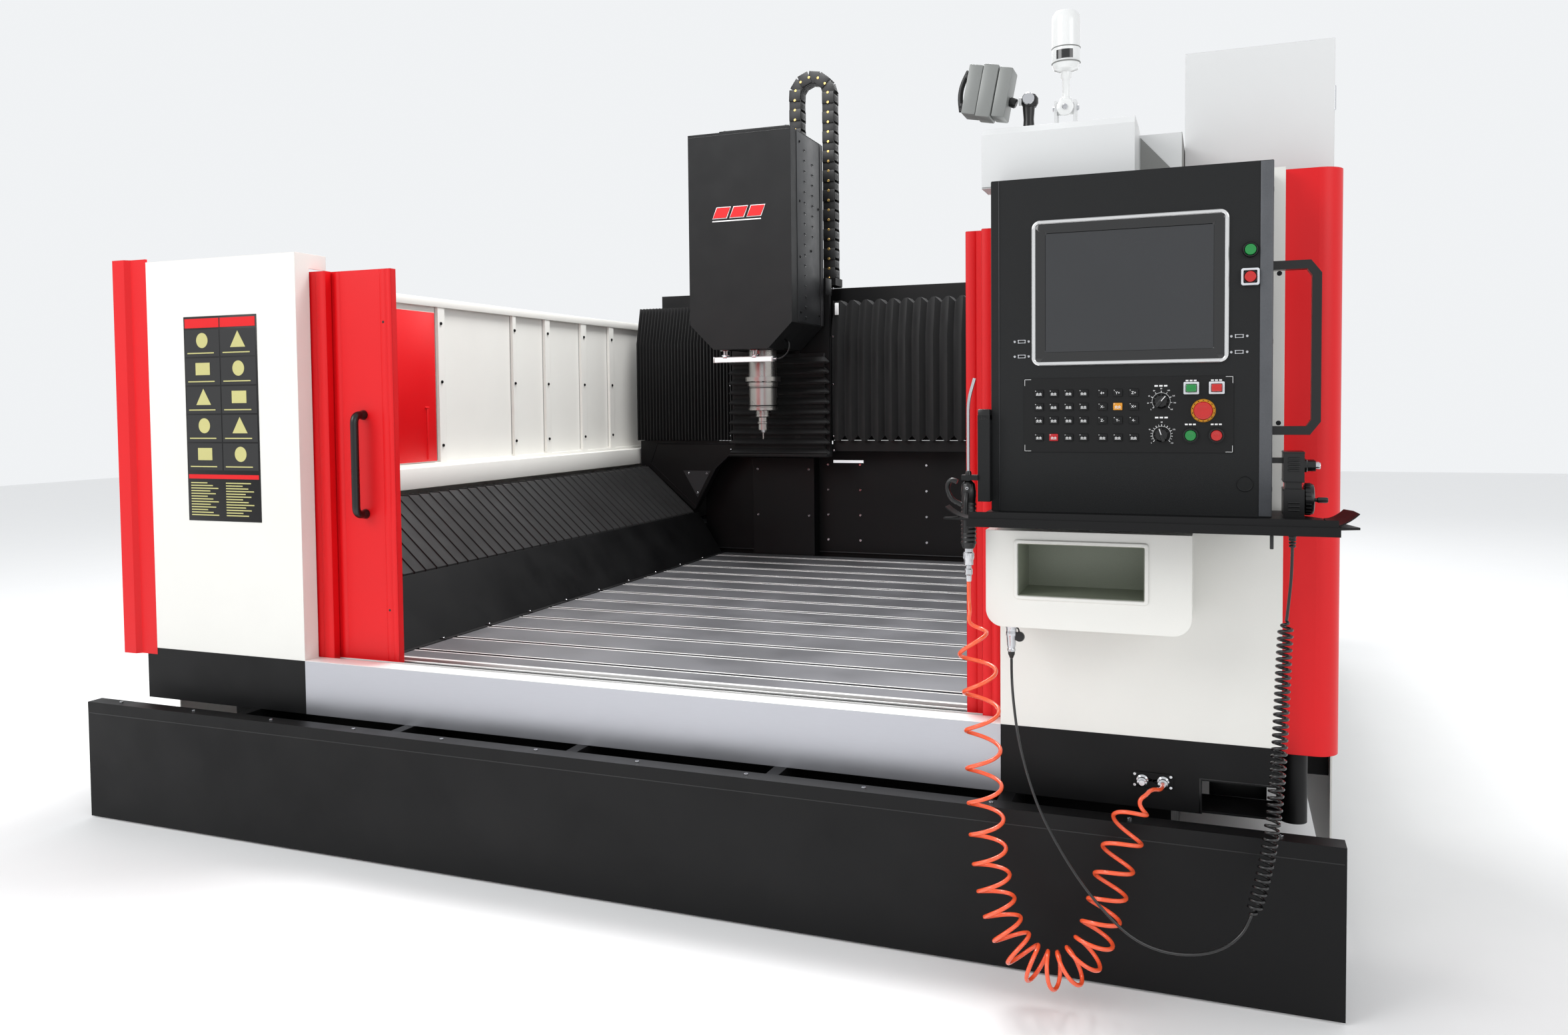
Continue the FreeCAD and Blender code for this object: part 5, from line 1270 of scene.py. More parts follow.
@dataclass
class Bed:
    """Table with painted highlights on its slot edges and the doorway's ledge, the chip guards' strips and the plinth.
    """

    first_slot: float = -1.157
    pitch: float = 0.187
    half: float = 0.857
    top: float = 0.431

    def build(self) -> None:
        """Dress the bed's nodes and make its details."""
        dress(GROUND_IRON, "work_table")
        dress(CASTING, "machine_frame")
        dress(RAIL_STEEL, "y_rails")
        dress(SATIN_SHEET, "table_front_panel")
        dress(BLACK_COAT, "front_plinth", "lower_casings", "chip_guards")
        # Near-white strips along the slot edges and the table's front edge: a painted highlight.
        edges = Form()
        for slot in range(13):
            y = self.first_slot + slot * self.pitch
            for low, high in ((y - 0.0155, y - 0.009), (y + 0.009, y + 0.0155)):
                edges.slab((-self.half, low, self.top - 0.001), (self.half, high, self.top + 0.0004), 0.0002)
        edges.slab((-self.half, -1.2602, self.top - 0.012), (self.half, -1.246, self.top + 0.0004), 0.0002)
        edges.piece("slot_edge_highlights", PAINTED_EDGE_HIGHLIGHT, "machine")
        strips, bolts, dark = Form(), Form(), Form()
        for sign in (-1, 1):
            for k in range(10):
                y = -1.26 + 0.245 * k
                strips.slab((sign * 0.8665 - 0.0085, y + 0.003, 0.43),
                            (sign * 0.8665 + 0.0085, y + 0.242, 0.4335), 0.0012)
                strips.slab((sign * 0.868 - 0.010, y - 0.006, 0.43),
                            (sign * 0.868 + 0.010, y + 0.006, 0.436), 0.0015)
                bolts.screw((sign * 0.868, y, 0.436), (0, 0, 1), 0.0045)
        strips.piece("guard_strips", BLACK_COAT, "machine")
        # Near-white strips along the doorway's sill: a painted highlight.
        ledge = Form().slab((-0.921, -1.5475, 0.4728), (0.952, -1.4945, 0.4738), 0.0003)
        ledge.slab((-0.9, -1.4675, 0.4645), (0.94, -1.4665, 0.4705), 0.0003)
        ledge.slab((-1.28, -1.434, 0.4645), (1.28, -1.4305, 0.4685), 0.0008)
        ledge.slab((-0.9, -1.4905, 0.4645), (0.94, -1.4915, 0.4725), 0.0002)
        ledge.piece("doorway_ledge_highlights", PAINTED_EDGE_HIGHLIGHT, "machine")
        for k in range(8):
            bolts.screw((-0.82 + 0.24 * k, -1.4385, 0.4645), (0, 0, 1), 0.0035)
        for k in range(12):
            bolts.screw((-1.5 + 0.272 * k, -1.6375, 0.332), (0, 0, 1), 0.005)
        bolts.piece("bed_bolts", CHROME, "machine")
        dark.slab((1.35, -1.5475, 0.397), (1.497, -1.5455, 0.4), 0.0005)
        dark.slab((1.347, -1.5475, 0.33), (1.35, -1.5455, 0.4), 0.0005)
        for k in range(5):
            dark.slab((1.365, -1.44 + 0.012 * k, 0.335), (1.475, -1.434 + 0.012 * k, 0.385), 0.001)
        dark.slab((-1.599, -1.6602, 0.30), (1.599, -1.6598, 0.302), 0.0)
        dark.piece("skirt_hatch_frame", BLACK_NYLON, "machine")


@dataclass
class Enclosure:
    """Casings, their plain board, doors, side fences, rear panels and cabinet."""

    board: tuple[float, float, float, float] = (-1.322, -1.058, 0.845, 1.415)

    def info_board(self) -> None:
        """A plain dark board of tiles, bars and blocks with no wording."""
        left, right, low, high = self.board
        y = -1.547
        Form().slab((left, y - 0.0012, low), (right, y, high), 0.0005).piece("board", KEY_BLACK, "machine")
        grey, red, pale = Form(), Form(), Form()
        middle = (left + right) / 2
        for column, x in enumerate((left + 0.005, middle + 0.002)):
            wide = middle - left - 0.007
            red.slab((x, y - 0.0018, high - 0.032), (x + wide, y - 0.001, high - 0.006))
            for row in range(5):
                top = high - 0.037 - row * 0.079
                grey.slab((x, y - 0.0016, top - 0.075), (x + wide, y - 0.001, top))
                shape = (column * 5 + row) % 3
                spot = (x + wide / 2, y - 0.0016, top - 0.03)
                if shape == 0:
                    pale.rod(spot, (spot[0], y - 0.0021, spot[2]), 0.021, 0.0001, 24)
                elif shape == 1:
                    pale.slab((spot[0] - 0.026, y - 0.0021, spot[2] - 0.017),
                              (spot[0] + 0.026, y - 0.0015, spot[2] + 0.017))
                else:
                    pale.prism([(spot[0] - 0.027, y - 0.0015, spot[2] - 0.021),
                                (spot[0] + 0.027, y - 0.0015, spot[2] - 0.021),
                                (spot[0], y - 0.0015, spot[2] + 0.024)], (0, -0.0006, 0))
                pale.slab((x + 0.008, y - 0.0021, top - 0.0665), (x + wide - 0.02, y - 0.0015, top - 0.0635))
        red.slab((left + 0.005, y - 0.0018, low + 0.118), (right - 0.005, y - 0.001, low + 0.13))
        for column, x in enumerate((left + 0.012, middle + 0.008)):
            for row in range(13):
                wide = 0.06 + 0.04 * ((row * 7 + column * 3) % 5) / 4
                z = low + 0.108 - row * 0.0075
                pale.slab((x, y - 0.0018, z - 0.003), (x + wide, y - 0.001, z))
        grey.piece("board_tiles", BOARD_GREY, "machine")
        red.piece("board_bars", RED_COAT, "machine")
        pale.piece("board_blocks", BOARD_PALE, "machine")

    def door_folds(self) -> None:
        """Pressed folds of the door leaves, the screw hole and the tube handle."""
        for body, node, strips in (
                ("left_trailing_door", "door_left_trailing", ((-0.9, -0.8745),)),
                ("left_leading_door", "door_left_leading", ((-0.862, -0.846), (-0.708, -0.692), (-0.688, -0.677))),
                ("right_leading_door", "door_right_leading", ((0.868, 0.884),)),
                ("right_trailing_door", "door_right_trailing", ((0.9075, 0.921), (0.93, 0.938)))):
            box = Box.of(node)
            fold = Form()
            for low, high in strips:
                y = box.low.y
                fold.prism([(low - 0.004, y + 0.0005, box.low.z + 0.001), (low, y - 0.0022, box.low.z + 0.001),
                            (high, y - 0.0022, box.low.z + 0.001), (high + 0.004, y + 0.0005, box.low.z + 0.001)],
                           (0, 0, box.high.z - box.low.z - 0.002))
            fold.piece(f"{node}_folds", RED_COAT, body)
        hole = Form().rod((-0.70, -1.4668, 1.385), (-0.70, -1.4675, 1.385), 0.0035, 0.0002, 16)
        hole.rod((-0.70, -1.4668, 0.61), (-0.70, -1.4675, 0.61), 0.0035, 0.0002, 16)
        hole.piece("door_holes", BLACK_NYLON, "left_leading_door")
        x, front, face = -0.773, -1.5035, -1.4655
        line = rounded([(x, face, 1.137), (x, front, 1.137), (x, front, 0.869), (x, face, 0.869)], 0.022, 8)
        grip = Form().tube(line, 0.0108, 20)
        for z in (1.137, 0.869):
            grip.turned([(0, 0), (0.0128, 0), (0.0135, 0.002), (0.0125, 0.008), (0.0109, 0.014), (0, 0.014)],
                        (x, -1.465, z), (0, -1, 0), 28)
        grip.piece("door_handle", BLACK_NYLON, "left_leading_door", "left_door_handle")

    def fences(self) -> None:
        """Red hatch, rib bolts, cap trims and painted shadow beside the ribs of the side fences."""
        hatch = Form().slab((-1.3632, -0.957, 0.953), (-1.3605, -0.373, 1.508), 0.001)
        hatch.slab((-1.361, -0.43, 0.96), (-1.358, -0.422, 1.15), 0.001)
        hatch.slab((-1.361, -0.44, 1.15), (-1.357, -0.418, 1.156), 0.001)
        hatch.piece("fence_hatch", RED_COAT, "machine")
        bolts, caps, rib_shadows = Form(), Form(), Form()
        for sign in (-1, 1):
            face = sign * 1.357
            for y in (-0.99, -0.34, 0.154, 0.412, 0.724, 0.988, 1.52):
                if sign > 0 and y < -0.3:
                    continue
                for z in (1.01, 1.25, 1.47):
                    bolts.screw((face, y, z), (-sign, 0, 0), 0.006)
            start = -1.34 if sign < 0 else -0.41
            caps.slab((sign * 1.3785 - 0.0235, start, 1.5595), (sign * 1.3785 + 0.0235, 1.789, 1.5625), 0.001)
            caps.slab((sign * 1.3565 - 0.002, start, 1.53), (sign * 1.3565 + 0.002, 1.789, 1.5605), 0.001)
            for z in (1.05, 1.45):
                for k in range(6):
                    bolts.screw((sign * 1.375, -0.35 + 0.4 * k, z), (sign, 0, 0), 0.006)
            caps.slab((sign * 1.301 - 0.0025, -1.34, 0.862), (sign * 1.301 + 0.0025, 1.845, 0.937), 0.0015)
        # Grey strips on both sides of each rib: painted shadow.
        for sign in (-1, 1):
            for y, wide in ((-1.01, 0.04), (-0.357, 0.041), (0.142, 0.024), (0.392, 0.04), (0.701, 0.046),
                            (0.966, 0.044), (1.5, 0.04)):
                if sign > 0 and y < -0.3:
                    continue
                for edge in (y - 0.0025, y + wide):
                    rib_shadows.slab((sign * 1.371 - 0.001, edge, 0.955), (sign * 1.371 + 0.001, edge + 0.0025, 1.53))
        rib_shadows.piece("fence_rib_shadows", SEAM_SHADE, "machine")
        bolts.piece("fence_bolts", SCREW_BLACK, "machine")
        caps.piece("fence_caps", WHITE_COAT, "machine")

    def rear(self) -> None:
        """Splash wall bolts, strip light lens, rear doors and vents, and side panel seams."""
        lens = Form().slab((-0.3295, 1.2796, 0.8685), (-0.1805, 1.2812, 0.8815), 0.0004)
        lens.piece("rear_light_lens", GLOWING_LENS, "machine")
        bolts, frames, dark = Form(), Form(), Form()
        for x in (-0.36, -0.2, 0.12, 0.44, 0.76, 0.96):
            for z in (0.5, 0.62, 0.74, 0.86):
                bolts.screw((x, 1.29, z), (0, -1, 0), 0.006)
        for x, z in ((-0.69, 0.62), (-0.43, 0.62), (-0.69, 0.84), (-0.43, 0.84)):
            bolts.screw((x, 1.21, z), (0, -1, 0), 0.006)
        frames.frame((0.33, 1.2898, 0.64), (0.88, 1.2898, 0.86), (0.345, 1.2898, 0.655), (0.865, 1.2898, 0.845), 0.004,
                     0.012, 0.001)
        frames.slab((-1.0, 1.2795, 0.439), (1.0, 1.2901, 0.4425), 0.001)
        dark.slab((0.345, 1.2892, 0.655), (0.865, 1.2901, 0.845), 0.0003)
        dark.prism([(0.4, 1.289, 0.66), (0.81, 1.289, 0.66), (0.77, 1.289, 0.72), (0.44, 1.289, 0.72)], (0, -0.002, 0))
        back = 1.8492
        for left in (-1.5, -0.5, 0.5):
            frames.slab((left, back, 0.2), (left + 0.94, back + 0.0012, 0.86), 0.0004)
            for z in (0.3, 0.76):
                bolts.rod((left + 0.004, back, z - 0.03), (left + 0.004, back, z + 0.03), 0.006, 0.001, 12)
            # Black strips for the vents' slots: painted shade.
            for k in range(8):
                dark.slab((left + 0.3, back + 0.0006, 0.36 + 0.022 * k),
                          (left + 0.64, back + 0.0018, 0.367 + 0.022 * k), 0.0003)
        bolts.piece("splash_wall_bolts", CHROME, "machine")
        # The rear frames and doors are drawn in the lighter coat: painted light.
        frames.piece("rear_frames", SAND_COAT_LIT, "machine")
        dark.piece("rear_vents", KEY_BLACK, "machine")
        # Grey lines in the side panels' joints: painted shade.
        seams = Form()
        for sign in (-1, 1):
            for y in (-0.75, -0.15, 0.45, 1.05):
                seams.slab((sign * 1.6028 - 0.0006, y, 0.15), (sign * 1.6028 + 0.0006, y + 0.003, 0.91))
            seams.slab((sign * 1.6028 - 0.0006, -1.32, 0.91), (sign * 1.6028 + 0.0006, 1.82, 0.913))
        seams.piece("side_seams", SEAM_SHADE, "machine")

    def cabinet(self) -> None:
        """Door seams, hinges, latches and vents of the electrical cabinet, and the top cover's edges."""
        box = Box.of("electrical_cabinet")
        seams, hinges = Form(), Form()
        out = box.high.x
        for a, b in ((box.low.y + 0.02, -0.885), (-0.875, box.high.y - 0.02)):
            for low, high in (((a, box.low.z + 0.03), (a + 0.003, box.high.z - 0.03)),
                              ((b, box.low.z + 0.03), (b + 0.003, box.high.z - 0.03)),
                              ((a, box.low.z + 0.03), (b, box.low.z + 0.033)),
                              ((a, box.high.z - 0.033), (b, box.high.z - 0.03))):
                seams.slab((out - 0.0005, low[0], low[1]), (out + 0.0006, high[0], high[1]))
            for k in range(9):
                seams.slab((out - 0.0005, a + 0.12, box.low.z + 0.12 + 0.022 * k),
                           (out + 0.0022, b - 0.12, box.low.z + 0.127 + 0.022 * k), 0.0008)
            for z in (box.low.z + 0.12, box.high.z - 0.14):
                hinges.rod((out, a + 0.008, z), (out, a + 0.008, z + 0.05), 0.005, 0.001, 12)
            hinges.turned([(0, 0), (0.012, 0), (0.012, 0.003), (0.004, 0.004), (0.004, 0.005), (0, 0.005)],
                          (out, b - 0.03, (box.low.z + box.high.z) / 2), (1, 0, 0), 24)
        for z in (box.low.z + 0.2, box.high.z - 0.2):
            seams.slab((box.low.x + 0.02, box.high.y - 0.0005, z), (box.high.x - 0.02, box.high.y + 0.0006, z + 0.002))
        # The cabinet's grey door seams and vent slats: painted shade.
        seams.piece("cabinet_seams", SEAM_SHADE, "machine")
        hinges.piece("cabinet_hinges", CHROME, "machine")
        cover = Box.of("top_cover")
        trims = Form()
        trims.slab((1.2262, -1.488, 1.6), (1.2272, -1.486, 1.694))
        trims.slab((1.3067, -1.488, 1.6), (1.3086, -1.24, 1.696), 0.0006)
        trims.prism([(1.2285, -1.4905, 1.6035), (1.306, -1.4905, 1.6035), (1.2285, -1.4905, 1.69)], (0, -0.0012, 0))
        trims.slab((cover.low.x + 0.001, -1.6206, 1.5895), (1.2255, -1.6196, 1.591))
        trims.piece("cover_trims", SEAM_SHADE, "machine")

    def build(self) -> None:
        """Dress the enclosure's nodes and make its details."""
        dress(WHITE_COAT, "left_casing", "right_casing", "side_covers", "side_fences")
        dress(COVER_WHITE, "top_cover", "electrical_cabinet")
        dress(RED_COAT, "corner_trims", "door_left_leading", "door_left_trailing", "door_right_leading",
              "door_right_trailing")
        dress(BLACK_COAT, "rear_panels")
        self.info_board()
        self.door_folds()
        self.fences()
        self.rear()
        self.cabinet()


# ------------------------------------------------------------------------------------- operator's panel

class Key(Enum):
    """What a key of the panel looks like."""

    PLAIN = "plain"
    AMBER = "amber"
    RED = "red"


@dataclass
class ControlPanel:
    """Screen, keys, dials, buttons, handle, sockets and edges of the operator's panel."""

    face: float = -1.694
    plate: float = -1.696
    columns: tuple[float, ...] = (1.054, 1.082, 1.11, 1.138, 1.173, 1.201, 1.23)
    rows: tuple[float, ...] = (1.171, 1.145, 1.119, 1.086)
    axes: tuple[tuple[int, int, str], ...] = (
        (0, 4, "4+"), (0, 5, "Y+"), (0, 6, "Z+"), (1, 4, "X-"), (1, 6, "X+"), (2, 4, "Z-"), (2, 5, "Y-"), (2, 6, "4-"))
    dials: tuple[tuple[str, float, float, int, float], ...] = (
        ("spindle_override", 1.279, 1.154, 8, 40), ("feed_override", 1.28, 1.091, 16, -18))

    def screen(self) -> None:
        """Rounded silver ring, black printed border and the glass."""
        dress(SCREEN_GLASS, "screen_glass")
        box = Box.of("screen_bezel")
        low, high = box.low, box.high
        ring, border = 0.007, 0.0255
        y = self.face

        def at(corner: Vector, sign: int, depth: float) -> Point:
            """Move a corner of the box into it, or out of it, by a depth."""
            return corner.x + sign * depth, y, corner.z + sign * depth

        silver = Form().frame(at(low, 1, 0), at(high, -1, 0), at(low, 1, ring), at(high, -1, ring),
                              0.005, 0.016, 0.0015)
        silver.piece("screen_ring", BEZEL, "machine", "screen_bezel")
        black = Form().frame(at(low, 1, ring - 0.0005), at(high, -1, ring - 0.0005), at(low, 1, border),
                             at(high, -1, border), 0.0032, 0.01, 0.0004)
        black.piece("screen_border", SCREEN_BORDER, "machine", "screen_bezel")

    def keys(self) -> None:
        """Caps, legends and lamps of the keys, and the plate's corner lines."""
        kinds = {(1, 5): Key.AMBER, (3, 1): Key.RED}
        caps = {kind: Form() for kind in Key}
        print_ = Form()
        named = {(row, column): text for row, column, text in self.axes}
        top = self.plate - 0.0025
        for row, z in enumerate(self.rows):
            for column, x in enumerate(self.columns):
                kind = kinds.get((row, column), Key.PLAIN)
                caps[kind].slab((x - 0.0084, top - 0.0014, z - 0.0069), (x + 0.0084, top + 0.001, z + 0.0069), 0.0011)
                skin = top - 0.00145
                print_.rod((x - 0.0062, skin, z + 0.0049), (x - 0.0062, skin - 0.0001, z + 0.0049), 0.0007, 0, 8)
                text = named.get((row, column))
                if text:
                    print_.letters(text, 0.0072, (x, skin, z - 0.0004))
                    continue
                for bar in range(2):
                    left = x - 0.0052 + 0.0056 * bar
                    print_.slab((left, skin - 0.0001, z - 0.0036), (left + 0.0048, skin, z - 0.0024))
                    print_.slab((left, skin - 0.0001, z - 0.001), (left + 0.0048, skin, z + 0.0002))
                    print_.slab((left + 0.0018, skin - 0.0001, z - 0.0036), (left + 0.003, skin, z + 0.0016))
        for kind, finish in ((Key.PLAIN, KEY_BLACK), (Key.AMBER, KEY_AMBER), (Key.RED, KEY_RED)):
            caps[kind].piece(f"keys_{kind.value}", finish, "machine")
        flat = self.plate - 0.0001
        for x, z, right, up in ((1.0265, 1.1985, 1, -1), (1.4035, 1.1985, -1, -1), (1.0265, 1.0595, 1, 1),
                                (1.4035, 1.0595, -1, 1)):
            print_.slab((min(x, x + right * 0.012), flat, z - 0.0003),
                        (max(x, x + right * 0.012), self.plate, z + 0.0003))
            print_.slab((x - 0.0003, flat, min(z, z + up * 0.012)),
                        (x + 0.0003, self.plate, max(z, z + up * 0.012)))
        for x, z, wide in ((1.279, 1.183, 0.012), (1.332, 1.192, 0.01), (1.376, 1.192, 0.01), (1.331, 1.1105, 0.01),
                           (1.376, 1.1105, 0.01), (1.28, 1.1235, 0.012)):
            for k in range(3):
                left = x - wide + wide * 0.7 * k
                print_.slab((left, flat, z - 0.0014), (left + wide * 0.5, self.plate, z + 0.0014))
        for _, x, z, ticks, _ in self.dials:
            for k in range(ticks + 1):
                angle = math.radians(-130 + 260 * k / ticks)
                out = Vector((math.sin(angle), 0, math.cos(angle)))
                centre = Vector((x, flat + 0.00005, z)) + out * 0.0182
                turn = Matrix.Translation(centre) @ Matrix.Rotation(angle, 4, "Y")
                print_.block((0.0007 if k % 2 else 0.0011, 0.0001, 0.0032), turn)
                if ticks < 10 or k % 4 == 0:
                    spot = Vector((x, flat, z)) + out * 0.0238
                    print_.letters(str(k * (10 if ticks > 10 else 20)), 0.0034, spot)
            arc = []
            for k in range(27):
                angle = math.radians(-130 + 10 * k)
                arc.append([(x + r * math.sin(angle), flat, z + r * math.cos(angle)) for r in (0.016, 0.0165)])
            print_.sheet(arc)
        print_.piece("panel_print", LEGEND, "machine")

    def dial_caps(self) -> None:
        """Pointer caps of the two override dials, in place of the plain knobs."""
        for body, x, z, _, turn in self.dials:
            base = (x, self.plate - 0.0003, z)
            cap = Form().turned([(0, 0), (0.0136, 0), (0.0136, 0.004), (0.0122, 0.006), (0.0112, 0.013),
                                 (0.0104, 0.0148), (0, 0.015)], base, (0, -1, 0), 40)
            spin = Matrix.Translation((x, self.plate - 0.0125, z)) @ Matrix.Rotation(math.radians(turn), 4, "Y")
            cap.block((0.0068, 0.011, 0.0268), spin, 0.0018)
            cap.piece(f"{body}_cap", BLACK_NYLON, body, f"{body}_knob")
            mark = Form().block((0.0012, 0.0004, 0.0118), spin @ Matrix.Translation((0, -0.0056, 0.0066)), 0)
            mark.piece(f"{body}_mark", LEGEND, body)

    def buttons(self) -> None:
        """Round and square buttons with their rings, and the emergency stop."""
        rings, guard = Form(), Form()
        for body, x, z, finish, face in (
                ("cycle_start", 1.331, 1.09, BUTTON_GREEN, self.plate),
                ("cycle_stop", 1.376, 1.09, BUTTON_RED, self.plate),
                ("screen_green", 1.432, 1.428, BUTTON_GREEN, self.face),
                ("screen_red", 1.432, 1.379, BUTTON_RED, self.face)):
            base = (x, face - 0.0032, z)
            cap = Form().turned([(0, 0), (0.0098, 0), (0.0099, 0.0065), (0.0092, 0.0082), (0.0078, 0.0086),
                                 (0.0055, 0.0078), (0, 0.0074)], base, (0, -1, 0), 40)
            cap.piece(f"{body}_cap", finish, body, f"{body}_button")
            rings.turned([(0.0104, 0), (0.0138, 0), (0.0138, 0.0052), (0.0126, 0.0074), (0.0108, 0.0074),
                          (0.0104, 0.006), (0.0104, 0)], (x, face, z), (0, -1, 0), 40)
        for body, x, finish in (("power_on", 1.332, BUTTON_GREEN), ("power_off", 1.376, BUTTON_RED)):
            cap = Form().slab((x - 0.0088, self.plate - 0.0118, 1.1712),
                              (x + 0.0088, self.plate - 0.004, 1.1848), 0.0012)
            cap.piece(f"{body}_cap", finish, body, f"{body}_button")
            guard.frame((x - 0.0135, self.plate - 0.0065, 1.1665), (x + 0.0135, 0, 1.1895), (x - 0.0096, 0, 1.1704),
                        (x + 0.0096, 0, 1.1856), 0.0012, 0.002, 0.0004)
        rings.piece("button_rings", BLACK_NYLON, "machine")
        guard.frame((1.4165, self.face, 1.3635), (1.4475, 0, 1.3945), (1.4205, 0, 1.3675), (1.4435, 0, 1.3905), 0.0085,
                    0.004, 0.0008)
        guard.piece("button_guards", CLEAR_GUARD, "machine")
        x, z = 1.353, 1.136
        yellow = Form().turned([(0.0085, 0), (0.0215, 0), (0.0215, 0.0022), (0.0205, 0.0034), (0.0085, 0.0034),
                                (0.0085, 0)], (x, self.plate, z), (0, -1, 0), 48)
        yellow.piece("estop_ring", RING_YELLOW, "machine")
        marks = Form()
        for k in range(14):
            angle = math.tau * k / 14
            spot = Matrix.Translation((x + 0.0192 * math.sin(angle), self.plate - 0.0035, z + 0.0192 * math.cos(angle)))
            marks.block((0.0022, 0.0002, 0.0014), spot @ Matrix.Rotation(angle, 4, "Y"))
        marks.piece("estop_marks", SCREW_BLACK, "machine")
        head = Form().turned([(0, 0), (0.0068, 0), (0.0068, 0.0115), (0.0148, 0.0135), (0.0168, 0.0165),
                              (0.017, 0.0205), (0.0155, 0.0242), (0.0118, 0.0252), (0.0095, 0.0246), (0, 0.0246)],
                             (x, self.plate - 0.0066, z), (0, -1, 0), 48)
        head.piece("estop_head", BUTTON_RED, "estop", "estop_button")

    def sockets(self) -> None:
        """Data sockets beside the screen, the latch, edge bands and hinge line."""
        silver, dark = Form(), Form()
        for x, z in ((1.0205, 1.273), (1.0205, 1.244), (1.414, 1.272), (1.414, 1.243)):
            silver.frame((x - 0.0075, self.face, z - 0.0035), (x + 0.0075, 0, z + 0.0035), (x - 0.0058, 0, z - 0.0019),
                         (x + 0.0058, 0, z + 0.0019), 0.0012, 0.0012, 0.0003)
            dark.slab((x - 0.006, self.face - 0.0004, z - 0.002), (x + 0.006, self.face + 0.0005, z + 0.002))
            for dx in (-0.0135, 0.0135):
                silver.turned([(0, 0), (0.0022, 0), (0.0022, 0.0008), (0, 0.0014)], (x + dx, self.face, z),
                              (0, -1, 0), 12)
        silver.piece("sockets", CHROME, "machine")
        dark.piece("socket_mouths", KEY_BLACK, "machine")
        latch = Form().turned([(0, 0), (0.0145, 0), (0.0145, 0.0012), (0.0136, 0.0018), (0.0128, 0.0009), (0, 0.0009)],
                              (1.425, self.face, 1.001), (0, -1, 0), 40)
        latch.piece("panel_latch", SAND_COAT, "machine")
        # The right door's folded edge in a paler grey: a painted highlight.
        bands = Form().slab((1.4485, self.face - 0.002, 0.9415), (1.4698, self.face + 0.0005, 1.587), 0.0014)
        bands.slab((1.4695, self.face + 0.001, 0.9415), (1.4708, self.face + 0.145, 1.587), 0.0004)
        bands.piece("panel_edge_right_highlight", EDGE_HIGHLIGHT_GREY, "machine")
        seam = Form().slab((0.9755, self.face - 0.0012, 0.9415), (0.9775, self.face + 0.0005, 1.587), 0.0004)
        seam.slab((0.9605, self.face + 0.002, 0.9415), (0.962, self.face + 0.14, 1.587), 0.0004)
        # The left edge band is drawn in the lighter coat: painted light.
        seam.piece("panel_edge_left", SAND_COAT_LIT, "machine")
        screws = Form()
        for z in (0.985, 1.265, 1.55):
            screws.screw((1.4708, -1.60, z), (1, 0, 0), 0.0055)
        for z in (1.112, 1.386):
            screws.screw((1.482, -1.6605, z), (0, -1, 0), 0.0045)
        screws.piece("panel_screws", SCREW_BLACK, "machine")

    def build(self) -> None:
        """Dress the panel's nodes and make its details."""
        dress(SAND_COAT, "control_panel_housing")
        dress(KEY_FILM, "keypad_plate")
        dress(BLACK_NYLON, "panel_handle")
        self.screen()
        self.keys()
        self.dial_caps()
        self.buttons()
        self.sockets()


@dataclass
class TrayAndBox:
    """Tool tray with its curled edges and the open box below it."""

    top: float = 0.94

    def build(self) -> None:
        """Dress the tray and the box and make their details."""
        dress(BLACK_COAT, "panel_tray")
        dress(WHITE_COAT, "storage_box")
        curl = Form()
        front, back = -1.8485, -1.845
        lip = [[(x, front, self.top - 0.016), (x, front, self.top - 0.004), (x, back, self.top + 0.012)]
               for x in (0.945, 1.1, 1.25, 1.4, 1.568)]
        curl.sheet(lip, 0.0018)
        wing = []
        for k in range(7):
            share = k / 6
            rise = 0.022 * share ** 2
            x = 1.556 + 0.045 * share
            wing.append([(x, -1.845 + 0.012 * share, self.top + rise), (x - 0.004 * share, -1.78, self.top + rise),
                         (x - 0.012 * share, -1.70, self.top + rise * 0.8)])
        curl.sheet(wing, 0.0018)
        left = []
        for k in range(7):
            share = k / 6
            rise = 0.02 * share ** 2
            x = 0.945 - 0.045 * share
            left.append([(x, -1.845 + 0.006 * share, self.top + rise), (x, -1.80, self.top + rise)])
        curl.sheet(left, 0.0018)
        curl.piece("tray_curl", BLACK_COAT, "machine")
        Form().slab((1.462, -1.845, 0.9), (1.468, -1.838, 0.9245), 0.001).piece("tray_stud", BLACK_NYLON, "machine")
        # Thin olive grey sheets on the box's inner faces: painted shade.
        inner_shade = Form()
        low, high = Vector((1.0124, -1.6935, 0.7744)), Vector((1.2496, -1.5614, 0.8766))
        thin = 0.0008
        for a, b in (((low.x, low.y, low.z), (high.x, high.y, low.z + thin)), ((low.x, low.y, high.z - thin), high),
                     ((low.x, low.y, low.z), (low.x + thin, high.y, high.z)),
                     ((high.x - thin, low.y, low.z), (high.x, high.y, high.z)),
                     ((low.x, high.y - thin, low.z), (high.x, high.y, high.z))):
            inner_shade.slab(a, b)
        inner_shade.piece("box_inner_shade", BOX_INSIDE_SHADE, "machine")
        rim = Form().frame((1.0045, -1.6938, 0.7665), (1.2575, 0, 0.8845), (1.0118, 0, 0.7738), (1.2502, 0, 0.8772),
                           0.0035, 0.007, 0.0012)
        rim.piece("box_rim", WHITE_COAT, "machine")


# ------------------------------------------------------------------------------------- lamps and hand tools

